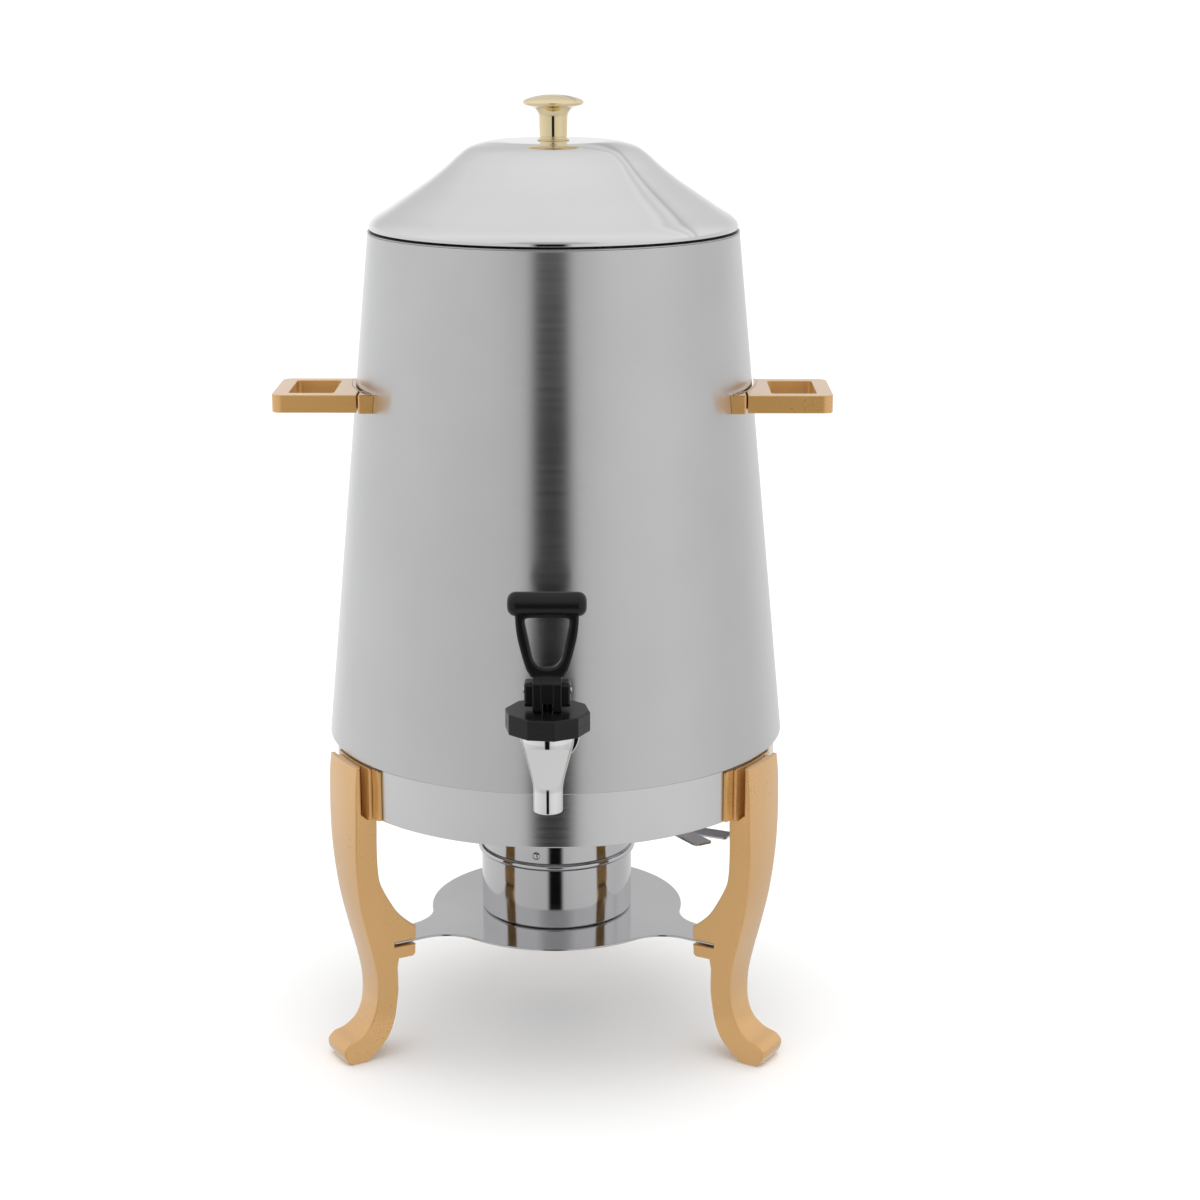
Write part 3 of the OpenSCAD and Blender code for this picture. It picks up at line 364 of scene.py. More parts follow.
def capped(rings: list[list[Point3]], cap: Outline) -> RawMesh:
    """Join closed rings with a tube and fill its two ends.

    Args:
        rings: Rings with the same number of points.
        cap: Flat outline of both ends, with the same number of points.

    Returns:
        The closed mesh.
    """
    raw = skin(rings)
    last = (len(rings) - 1) * len(cap)
    for tri in filled(cap):
        raw.faces.append(tri)
        raw.faces.append(tuple(last + i for i in reversed(tri)))
    return raw


# ---------------------------------------------------------------- shader nodes


def set_inputs(node: bpy.types.Node, inputs: dict) -> None:
    """Give the inputs of a node their values, or join them to the sockets that feed them.

    Args:
        node: Node whose inputs are set.
        inputs: Value or feeding socket for each input, by its name or number.
    """
    for name, value in inputs.items():
        if isinstance(value, Socket):
            node.id_data.links.new(value, node.inputs[name])
        else:
            node.inputs[name].default_value = value


def add_node(tree: NodeTree, kind: str, inputs: dict | None = None, **settings: str) -> bpy.types.Node:
    """Add a node, set it up and join its inputs.

    Args:
        tree: Node tree that takes the node.
        kind: Kind of the node, without the word in front that all kinds share.
        inputs: Value or feeding socket for each input.
        settings: Settings of the node itself.

    Returns:
        The new node.
    """
    node = tree.nodes.new("ShaderNode" + kind)
    for name, value in settings.items():
        setattr(node, name, value)
    set_inputs(node, inputs or {})
    return node


def add_ramp(tree: NodeTree, source: Socket, stops: list[tuple[float, Point3]]) -> Socket:
    """Add a colour ramp.

    Args:
        tree: Node tree that takes the ramp.
        source: Socket with the place on the ramp.
        stops: Place and colour of each stop, the two ends first.

    Returns:
        The socket with the ramp's colour.
    """
    ramp = add_node(tree, "ValToRGB", {"Fac": source})
    elements = ramp.color_ramp.elements
    for i, (place, colour) in enumerate(stops):
        stop = elements[i] if i < 2 else elements.new(place)
        stop.position = place
        stop.color = (*colour, 1)
    return ramp.outputs["Color"]


# ---------------------------------------------------------------- finishes


class Slot(Enum):
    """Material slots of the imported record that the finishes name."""

    BODY = "body_steel"
    LID = "lid_steel"
    INNER = "inner_steel"
    SHELF = "shelf_steel"
    BURNER = "burner_steel"
    TAP = "tap_chrome"
    GOLD = "gold_metal"
    KNOB = "knob_metal"
    FASTENER = "fasteners"
    PLASTIC = "black_plastic"
    RUBBER = "gasket_rubber"


class Grain(Enum):
    """Direction of the marks that the tool left in a surface."""

    TURNED = (1.5, 1.5, 420.0)
    ROLLED = (16.0, 420.0, 420.0)
    EVEN = (240.0, 240.0, 240.0)
    MOULDED = (900.0, 900.0, 900.0)


@dataclass(frozen=True)
class Finish:
    """A surface finish with its own tool marks, cloudiness and small wear.

    Args:
        name: Name of the material.
        slot: Material slot of the record; not used.
        colour: Colour of the clean surface, in linear light.
        worn: Colour where the surface is a little worn or cloudy.
        metal: Share of the surface that acts as bare metal.
        smooth: Roughness where the surface is at its smoothest.
        rough: Roughness where it is at its roughest.
        grain: Direction of the tool marks.
        depth: Depth of the marks, in millimetres.
        cloud: Size of the cloudy patches, in patches per metre.
        coat: Strength of a clear coat.
        gloss: Strength of the mirror shine of a finish that isn't metal.
        brushed: How much the turned marks draw a reflection out, up and down.
    """

    name: str
    slot: Slot
    colour: Point3
    worn: Point3
    metal: float
    smooth: float
    rough: float
    grain: Grain
    depth: float
    cloud: float = 14.0
    coat: float = 0.0
    gloss: float = 0.5
    brushed: float = 0.0

    def material(self) -> bpy.types.Material:
        """Build the material once and hand it out after that.

        Returns:
            The material of this finish.
        """
        known = bpy.data.materials.get(self.name)
        if known:
            return known
        made = bpy.data.materials.new(self.name)
        made.use_nodes = True
        tree = made.node_tree
        shader = tree.nodes["Principled BSDF"]
        place = add_node(tree, "TexCoord").outputs["Object"]
        marks = self._noise(tree, place, self.grain.value, 3.0)
        cloud = self._noise(tree, place, (self.cloud,) * 3, 4.0)
        half = add_node(tree, "Math", {0: cloud, 1: 1 - MARKS_SHARE}, operation="MULTIPLY")
        blend = add_node(tree, "Math", {0: marks, 1: MARKS_SHARE, 2: half.outputs[0]},
                         operation="MULTIPLY_ADD")
        low, high = ROUGHNESS_ENDS
        spread = add_node(tree, "MapRange", {"Value": blend.outputs[0], "From Min": low, "From Max": high,
                                             "To Min": self.smooth, "To Max": self.rough})
        bump = add_node(tree, "Bump", {"Strength": 1.0, "Distance": self.depth * MM, "Height": marks})
        set_inputs(shader, {
            "Metallic": self.metal, "Specular IOR Level": self.gloss, "Coat Weight": self.coat,
            "Coat Roughness": COAT_ROUGHNESS, "Coat IOR": COAT_IOR,
            "Base Color": add_ramp(tree, cloud, list(zip(CLOUD_ENDS, (self.worn, self.colour)))),
            "Roughness": spread.outputs["Result"], "Normal": bump.outputs["Normal"]})
        if self.brushed:
            around = add_node(tree, "Tangent", direction_type="RADIAL", axis="Z")
            set_inputs(shader, {"Anisotropic": self.brushed, "Anisotropic Rotation": QUARTER_TURN,
                                "Tangent": around.outputs["Tangent"]})
        return made

    @staticmethod
    def _noise(tree: NodeTree, place: Socket, scale: Point3, detail: float) -> Socket:
        """Add a noise that is stretched along the three axes.

        Args:
            tree: Node tree of the material.
            place: Socket with the coordinates of the piece.
            scale: Stretch along X, Y and Z, in cells per metre.
            detail: Number of finer layers.

        Returns:
            The socket with the noise.
        """
        mapping = add_node(tree, "Mapping", {"Vector": place, "Scale": scale})
        noise = add_node(tree, "TexNoise", {"Vector": mapping.outputs["Vector"], "Scale": 1.0,
                                            "Detail": detail})
        return noise.outputs["Fac"]


BODY_STEEL = Finish("satin_turned_steel", Slot.BODY, (0.65, 0.65, 0.655), (0.62, 0.62, 0.625), 1.0,
                    0.19, 0.24, Grain.TURNED, 0.002, brushed=0.45)
# The ring's steel is the body's satin turned steel with its colour painted lighter: a painted brightening of
# the same metal, not a different finish.
RING_STEEL_PAINTED_LIGHTER = Finish("satin_ring_steel_painted_lighter", Slot.BODY, (0.78, 0.78, 0.785), (0.74, 0.74, 0.745), 1.0,
                    0.19, 0.24, Grain.TURNED, 0.002, brushed=0.45)
LID_STEEL = Finish("polished_steel", Slot.LID, (0.80, 0.80, 0.805), (0.77, 0.77, 0.775), 1.0,
                   0.05, 0.08, Grain.TURNED, 0.0006)
INNER_STEEL = Finish("drawn_inner_steel", Slot.INNER, (0.56, 0.56, 0.57), (0.50, 0.50, 0.51), 1.0,
                     0.30, 0.42, Grain.TURNED, 0.008)
SHELF_STEEL = Finish("rolled_shelf_steel", Slot.SHELF, (0.64, 0.64, 0.65), (0.60, 0.60, 0.61), 1.0,
                     0.09, 0.14, Grain.ROLLED, 0.001)
BURNER_STEEL = Finish("bright_burner_steel", Slot.BURNER, (0.66, 0.66, 0.67), (0.60, 0.60, 0.61), 1.0,
                      0.07, 0.12, Grain.TURNED, 0.001)
TAP_CHROME = Finish("tap_chrome_plate", Slot.TAP, (0.90, 0.90, 0.905), (0.87, 0.87, 0.88), 1.0,
                    0.03, 0.06, Grain.EVEN, 0.0004)
GOLD_COAT = Finish("satin_gold_coat", Slot.GOLD, (0.72, 0.405, 0.132), (0.69, 0.385, 0.124), 0.5,
                   0.26, 0.34, Grain.MOULDED, 0.0008, coat=0.85)
KNOB_BRASS = Finish("polished_knob_brass", Slot.KNOB, (0.93, 0.80, 0.53), (0.88, 0.73, 0.45), 1.0,
                    0.05, 0.10, Grain.TURNED, 0.0006)
FASTENER_STEEL = Finish("bright_fastener_steel", Slot.FASTENER, (0.66, 0.66, 0.66), (0.58, 0.58, 0.58), 1.0,
                        0.16, 0.28, Grain.EVEN, 0.002)
BLACK_PLASTIC = Finish("black_moulded_plastic", Slot.PLASTIC, (0.004, 0.004, 0.0045), (0.008, 0.008, 0.008),
                       0.0, 0.17, 0.27, Grain.MOULDED, 0.006, gloss=0.3)
GASKET_RUBBER = Finish("grey_gasket_rubber", Slot.RUBBER, (0.03, 0.03, 0.03), (0.05, 0.05, 0.05), 0.0,
                       0.62, 0.78, Grain.MOULDED, 0.020)


# ---------------------------------------------------------------- pieces


def make_piece(name: str, raw: RawMesh, finish: Finish, body: str, nodes: tuple[str, ...],
               sharp: float = 36.0) -> bpy.types.Object:
    """Turn a raw mesh into a finished piece that rides on a body.

    Args:
        name: Name of the piece.
        raw: Mesh in millimetres.
        finish: Surface finish.
        body: Moving body that carries the piece.
        nodes: CAD nodes that the piece stands for.
        sharp: Angle in degrees above which an edge stays sharp.

    Returns:
        The new object.
    """
    mesh = bpy.data.meshes.new(name)
    mesh.from_pydata([tuple(c * MM for c in p) for p in raw.points], [], raw.faces)
    bm = bmesh.new()
    bm.from_mesh(mesh)
    bmesh.ops.remove_doubles(bm, verts=bm.verts, dist=SAME_POINT)
    bmesh.ops.dissolve_degenerate(bm, edges=bm.edges, dist=NO_EDGE)
    bmesh.ops.recalc_face_normals(bm, faces=bm.faces)
    bm.to_mesh(mesh)
    bm.free()
    mesh.polygons.foreach_set("use_smooth", [True] * len(mesh.polygons))
    mesh.set_sharp_from_angle(angle=math.radians(sharp))
    mesh.materials.append(finish.material())
    piece = bpy.data.objects.new(name, mesh)
    bpy.context.scene.collection.objects.link(piece)
    weighted = piece.modifiers.new("even_faces", "WEIGHTED_NORMAL")
    weighted.keep_sharp = True
    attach(piece, body)
    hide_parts(*nodes)
    LOG.info("%s: %d faces, on %s", name, len(mesh.polygons), body)
    return piece


def dress_nodes(finish: Finish, *nodes: str) -> None:
    """Give CAD nodes that stay in the picture their finish.

    Args:
        finish: Surface finish.
        nodes: Names of the CAD nodes.
    """
    for node in nodes:
        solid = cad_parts[node]
        solid.data.materials.clear()
        solid.data.materials.append(finish.material())
        LOG.info("%s: CAD solid in %s", node, finish.name)


@dataclass
class Lid:
    """Domed lid with its knob, washer, centring ring and screw.

    Args:
        radius: Outer radius of the lid.
        bottom: Height of its lower edge.
        top: Height of its flat top.
        sheet: Thickness of the steel.
        knob_radius: Radius of the knob's cap.
        knob_top: Height of the knob's top.
        stem_radius: Radius of the knob's stem.
        foot_radius: Radius of the knob's foot.
        washer_radius: Radius of the washer under the knob.
        washer_height: Thickness of the washer.
    """

    radius: float = 105.9
    bottom: float = 485.1
    top: float = 534.3
    sheet: float = 1.2
    knob_radius: float = 17.4
    knob_top: float = 560.0
    stem_radius: float = 7.9
    foot_radius: float = 8.4
    washer_radius: float = 9.2
    washer_height: float = 0.8

    def dome_profile(self) -> Outline:
        """Draw the closed cut through the lid's sheet, with its rolled edge.

        Returns:
            The closed profile, from the middle of the top outwards and back inside.
        """
        shares = [(0.3, 1), (0.37, 0.982), (0.455, 0.926), (0.52, 0.825), (0.58, 0.708), (0.677, 0.544),
                  (0.787, 0.383), (0.9, 0.219), (0.963, 0.135), (0.991, 0.08), (1, 0.035), (1, 0)]
        rise = self.top - self.bottom
        outer = smooth_curve([(s * self.radius, self.bottom + h * rise) for s, h in shares], 6)
        inner = [(r, z) for r, z in inset(list(reversed(outer)), self.sheet)][1:-1]
        inner = [(r, max(z, self.bottom)) for r, z in inner]
        lip = [(self.radius - 0.15, self.bottom), (self.radius - self.sheet + 0.15, self.bottom)]
        return ([(0, self.top)] + outer[:-1] + [(self.radius, self.bottom + 0.35)] + lip
                + inner + [(0, self.top - self.sheet)])

    def knob_profile(self) -> Outline:
        """Draw the cut through the knob.

        Returns:
            The closed profile, from the top to the foot.
        """
        shares = [(0, 1), (0.3, 0.99), (0.55, 0.966), (0.8, 0.922), (0.93, 0.884), (1, 0.832), (0.965, 0.785),
                  (0.88, 0.762), (0.75, 0.738), (0.62, 0.695), (0.53, 0.63), (0.482, 0.56), (0.465, 0.49)]
        rise = self.knob_top - self.top
        cap = smooth_curve([(s * self.knob_radius, self.top + h * rise) for s, h in shares], 6)
        foot = self.top + self.washer_height
        groove = 0.45
        return cap + softened([
            (self.stem_radius, foot + 1.5), (self.stem_radius - groove, foot + 1.3),
            (self.stem_radius - groove, foot + 0.9), (self.foot_radius - 0.3, foot + 0.8),
            (self.foot_radius - 0.3, foot + 0.02), (0, foot + 0.02)], 0.15, 3, closed=False)

    def build(self) -> None:
        """Make the lid's pieces and dress the solids inside it."""
        make_piece("lid_dome", revolve(self.dome_profile(), 256), LID_STEEL, "lid", ("lid_shell",), 50)
        make_piece("knob_turned", revolve(self.knob_profile(), 128), KNOB_BRASS, "lid", ("lid_knob",), 40)
        washer = ring_cut(0, self.washer_radius, self.top + 0.05, self.top + self.washer_height, 0.3, 3)
        make_piece("knob_washer_plate", revolve(washer, 128), KNOB_BRASS, "lid", ("knob_washer",))
        dress_nodes(INNER_STEEL, "lid_ring")
        dress_nodes(FASTENER_STEEL, "knob_screw")


@dataclass
class UrnBody:
    """Conical double-walled body.

    Args:
        top_radius: Radius of the upper edge.
        top: Height of the upper edge.
        bottom: Height of the lower edge.
        slope: Growth of the radius for each millimetre down.
        sheet: Thickness of the outer wall.
        lip: Height of the rounded lip on the upper edge.
    """

    top_radius: float = 106.9
    top: float = 483.0
    bottom: float = 187.2
    slope: float = 0.0963489
    sheet: float = 0.8
    lip: float = 0.6

    def radius_at(self, height: float) -> float:
        """Return the outer radius at a height."""
        return self.top_radius + (self.top - height) * self.slope

    def build(self) -> None:
        """Make the outer wall with its hemmed edge and dress the walls inside."""
        low = self.radius_at(self.bottom)
        hem = [(low - 0.35, self.bottom), (low, self.bottom + 0.4)]
        heights = (self.bottom + 0.4, 240, 300, 360, 420, self.top - self.lip)
        wall = [(self.radius_at(z), z) for z in heights]
        inside = [(r - self.sheet, z) for r, z in reversed(wall[1:-1])]
        crest = self.radius_at(self.top)
        wall += [(crest - 0.12, self.top - 0.12), (crest - 0.45, self.top)]
        inside = [(crest - self.sheet, self.top)] + inside
        back = [(low - self.sheet, self.bottom + 3.2), (low - self.sheet - 0.25, self.bottom + 0.5)]
        make_piece("body_wall", revolve(hem[:1] + wall + inside + back, 256), BODY_STEEL, "urn",
                   ("outer_shell",))
        dress_nodes(INNER_STEEL, "inner_tank", "base_plate")


@dataclass
class SideHandle:
    """Flat gold-toned loop on a curved saddle, on one side of the body.

    Args:
        body: Body that the saddle follows.
        low: Height of the lower face.
        high: Height of the upper face.
        saddle_radius: Outer radius of the saddle.
        nose_face: Flat outer face of the saddle's nose.
        reach: Distance of the handle's outer side from the axis.
        front: Place of the handle's front edge along Y.
        back: Place of its back edge along Y.
        side_bar: Width of the bars in front of and behind the finger gap.
        gap_in: Inner side of the finger gap.
        gap_out: Outer side of the finger gap.
        over: How far the saddle stands out past the handle, front and back.
        wall: Thickness of the saddle between its pocket and the body.
        seam: Width of the dark seam between the loop and the nose.
        corner: Radius of the loop's outer corners.
        pocket_edge: Outer edge of the pocket between the saddle and the body, from the back on.
        pocket_ends: Places along Y where the pocket begins and ends beside the body.
    """

    body: UrnBody
    low: float = 386.3
    high: float = 396.5
    saddle_radius: float = 117.48
    nose_face: float = 109.3
    reach: float = 158.6
    front: float = -55.0
    back: float = 4.0
    side_bar: float = 7.5
    gap_in: float = 123.9
    gap_out: float = 149.6
    over: float = 2.5
    wall: float = 0.45
    seam: float = 1.1
    corner: float = 6.0
    pocket_edge: tuple[Point2, ...] = (
        (113.5, -26.0), (111.9, -34.0), (109.4, -43.0), (106.9, -49.5), (105.0, -52.6), (103.0, -54.4))
    pocket_ends: Point2 = (-55.2, -20.0)

    def _arc(self, radius: float, start: float, end: float, steps: int) -> Outline:
        """Draw a part of a circle about the urn's axis between two places along Y."""
        return [(math.sqrt(radius ** 2 - y * y), y)
                for y in (start + (end - start) * k / steps for k in range(steps + 1))]

    def _nose_y(self, radius: float, face: float) -> float:
        """Return the place along Y where a round side meets the flat face of the nose."""
        return -math.sqrt(radius ** 2 - face ** 2)

    def loop(self) -> RawMesh:
        """Make the flat loop with its finger gap.

        Returns:
            The loop on the right-hand side.
        """
        radius, face = self.saddle_radius + 0.12, self.nose_face + self.seam
        arc = self._arc(radius, self.back, self._nose_y(radius, face), 24)
        inner = arc + [(face, self.front)]
        outer = softened([inner[-1], (self.reach, self.front), (self.reach, self.back), inner[0]],
                         self.corner, 8, closed=False)
        gap = box_outline((self.gap_in, self.front + self.side_bar),
                          (self.gap_out, self.back - self.side_bar), 2.5, 6)
        return prism(inner[1:-1] + outer, self.low, self.high, 0.45, [gap], 3)

    def saddle(self) -> RawMesh:
        """Make the curved block between the body and the loop, with its narrow pocket.

        Returns:
            The saddle on the right-hand side.
        """
        start, end = self.front - self.over, self.back + self.over
        contact = self.body.radius_at(self.low) + 0.15
        meet = self._nose_y(self.saddle_radius, self.nose_face)
        inner = self._arc(contact, end, start, 40)
        nose = softened([inner[-1], (self.nose_face, start), (self.nose_face, meet)], 1.2, 4, closed=False)
        outline = inner[1:-1] + nose + self._arc(self.saddle_radius, meet, end, 24)[1:]
        rim = contact + self.wall
        pocket = list(self.pocket_edge) + self._arc(rim, *self.pocket_ends, 24)
        pocket = softened(list(reversed(pocket)), 0.3, 3)
        raw = prism(outline, self.low, self.high, 0.15, [pocket], 3)
        for i, (x, y, z) in enumerate(raw.points):
            out = math.hypot(x, y)
            if out < rim + 0.25 and x < self.nose_face - 0.3:
                fit = (self.body.radius_at(z) + out - contact + 0.12) / out
                raw.points[i] = (x * fit, y * fit, z)
        return raw

    def build(self) -> None:
        """Make both handles, the left one as the mirror image of the right one."""
        for side, mirror in (("right", 1), ("left", -1)):
            flip = Matrix.Diagonal((mirror, 1, 1, 1))
            make_piece(f"{side}_handle_loop", self.loop().placed(flip), GOLD_COAT, "urn", (f"handle_{side}",))
            make_piece(f"{side}_handle_saddle", self.saddle().placed(flip), GOLD_COAT, "urn",
                       (f"saddle_{side}",))
            dress_nodes(FASTENER_STEEL, f"handle_screws_{side}")


@dataclass
class Tap:
    """Bright tap with its black bonnet and lever.

    Args:
        axis_y: Place of the spout's axis along Y.
        spout_radius: Outer radius of the spout.
        bore_radius: Radius of the spout's bore.
        barrel_radius: Radius of the barrel.
        chamber_radius: Radius of the valve chamber.
        neck_radius: Radius of the neck inside the bonnet.
        mouth: Height of the spout's mouth.
        flare_low: Height where the spout starts to widen.
        flare_high: Height where the barrel reaches its full radius.
        barrel_top: Height of the barrel's top.
        neck_top: Height of the neck's top.
        shank_z: Height of the shank's axis.
        shank_radius: Radius of the shank.
        shank_end: Place of the shank's end along Y.
        flange_radius: Radius of the flange.
        flange_front: Front face of the flange along Y.
        flange_back: Back face of the flange along Y.
        bonnet_radius: Radius of the bonnet over its corners.
        bonnet_top: Height of the bonnet's top.
        bonnet_turn: Turn of the bonnet's flats, in degrees.
        pin_z: Height of the lever's pin.
        pin_radius: Radius of the pin.
        grip_z: Height of the grip's axis.
        shank_bore: Radius of the water's way through the shank.
        shank_start: Distance of the shank's start from the spout's axis.
        collar: Reach and length of the rounded collar where the shank leaves the barrel.
        bonnet_sides: Number of the bonnet's flat sides.
        bonnet_roof: Thickness of the bonnet above the neck.
        stem_hole: Radius of the bonnet's hole for the stem.
        pin_half: Half length of the pin.
        straight: Height of the straight part above the mouth.
        seat_drop: Depth of the valve's seat below the shank's axis.
        collar_bed: How deep the collar starts inside the barrel.
    """

    axis_y: float = -171.951
    spout_radius: float = 8.0
    bore_radius: float = 6.5
    barrel_radius: float = 14.2
    chamber_radius: float = 9.4
    neck_radius: float = 12.6
    mouth: float = 191.0
    flare_low: float = 203.0
    flare_high: float = 231.6
    barrel_top: float = 236.6
    neck_top: float = 241.6
    shank_z: float = 223.0
    shank_radius: float = 8.0
    shank_end: float = -108.95
    flange_radius: float = 16.6
    flange_front: float = -137.05
    flange_back: float = -134.55
    bonnet_radius: float = 23.0
    bonnet_top: float = 247.8
    bonnet_turn: float = 28.0
    pin_z: float = 258.5
    pin_radius: float = 1.6
    grip_z: float = 305.6
    shank_bore: float = 5.5
    shank_start: float = 11.5
    collar: Point2 = (1.6, 3.6)
    bonnet_sides: int = 10
    bonnet_roof: float = 5.4
    stem_hole: float = 2.6
    pin_half: float = 13.0
    straight: float = 6.0
    seat_drop: float = 4.0
    collar_bed: float = 1.6

    def _at_axis(self) -> Matrix:
        """Return the move from the urn's axis to the spout's axis."""
        return Matrix.Translation((0, self.axis_y, 0))

    def casting(self) -> RawMesh:
        """Make the spout, barrel, shank and flange.

        Returns:
            The bright casting.
        """
        shares = [(0, 0), (0.12, 0.06), (0.28, 0.21), (0.52, 0.5), (0.78, 0.82), (0.9, 0.95), (1, 1)]
        rise = self.flare_high - self.flare_low
        widen = self.barrel_radius - self.spout_radius
        flare = smooth_curve([(self.spout_radius + w * widen, self.flare_low + h * rise)
                              for h, w in shares], 8)
        above = self.mouth + self.straight
        mouth = softened([(self.bore_radius, above), (self.bore_radius, self.mouth),
                          (self.spout_radius, self.mouth), (self.spout_radius, above)],
                         0.6, 4, closed=False)
        crown = softened([flare[-1], (self.barrel_radius, self.barrel_top),
                          (self.neck_radius, self.barrel_top), (self.neck_radius, self.neck_top)],
                         0.7, 4, closed=False)
        seat = self.shank_z - self.seat_drop
        profile = (mouth + flare[:-1] + crown
                   + [(self.chamber_radius, self.neck_top), (self.chamber_radius, seat),
                      (self.bore_radius, seat)])
        raw = revolve(profile, 128).placed(self._at_axis())
        start = self.axis_y + self.shank_start
        shank = ring_cut(self.shank_bore, self.shank_radius, 0, self.shank_end - start, 0.4, 3)
        raw.add(revolve(shank, 96).placed(along((0, start, self.shank_z), (0, 1, 0))))
        inside = self.shank_radius - 0.5
        flange = ring_cut(inside, self.flange_radius, 0, self.flange_back - self.flange_front, 0.7, 4)
        raw.add(revolve(flange, 128).placed(along((0, self.flange_front, self.shank_z), (0, 1, 0))))
        root = self.barrel_radius + self.axis_y
        reach, length = self.collar
        collar = softened([(inside, 0), (self.shank_radius + reach, 0), (self.shank_radius + 0.2, length),
                           (inside, length)], 0.8, 4)
        raw.add(revolve(collar, 96).placed(along((0, root - self.collar_bed, self.shank_z), (0, 1, 0))))
        return raw

    def bonnet(self) -> RawMesh:
        """Make the flat-sided bonnet with its chamfers and its bore for the stem.

        Returns:
            The bonnet, closed.
        """
        sides = self.bonnet_sides
        turns = [math.radians(self.bonnet_turn + 360 * k / sides) for k in range(sides)]
        corners = [(self.bonnet_radius * math.cos(a), self.bonnet_radius * math.sin(a)) for a in turns]
        outline = softened(corners, 1.4, 3)
        bore = circle_outline(self.neck_radius + 0.1, 72)
        roof = self.bonnet_top - self.bonnet_roof
        lower = prism(outline, self.barrel_top, roof, 0.8, [bore])
        upper = prism(outline, roof - 0.9, self.bonnet_top, 1.1, [circle_outline(self.stem_hole, 48)], 4)
        return lower.add(upper).placed(self._at_axis())

    def build(self) -> None:
        """Make the tap's pieces and dress the ones inside it."""
        make_piece("tap_casting", self.casting(), TAP_CHROME, "urn", ("tap_body",), 34)
        make_piece("tap_bonnet_cap", self.bonnet(), BLACK_PLASTIC, "urn", ("tap_bonnet",), 40)
        pin = ring_cut(0, self.pin_radius, -self.pin_half, self.pin_half, 0.4, 3)
        make_piece("lever_cross_pin", revolve(pin, 48).placed(
            along((0, self.axis_y, self.pin_z), (1, 0, 0))), FASTENER_STEEL, "valve", ("lever_pin",))
        dress_nodes(GASKET_RUBBER, "tap_gasket_outer", "tap_gasket_inner", "seat_cup")
        dress_nodes(FASTENER_STEEL, "tap_nut", "tap_spring")
        dress_nodes(BLACK_PLASTIC, "valve_stem")


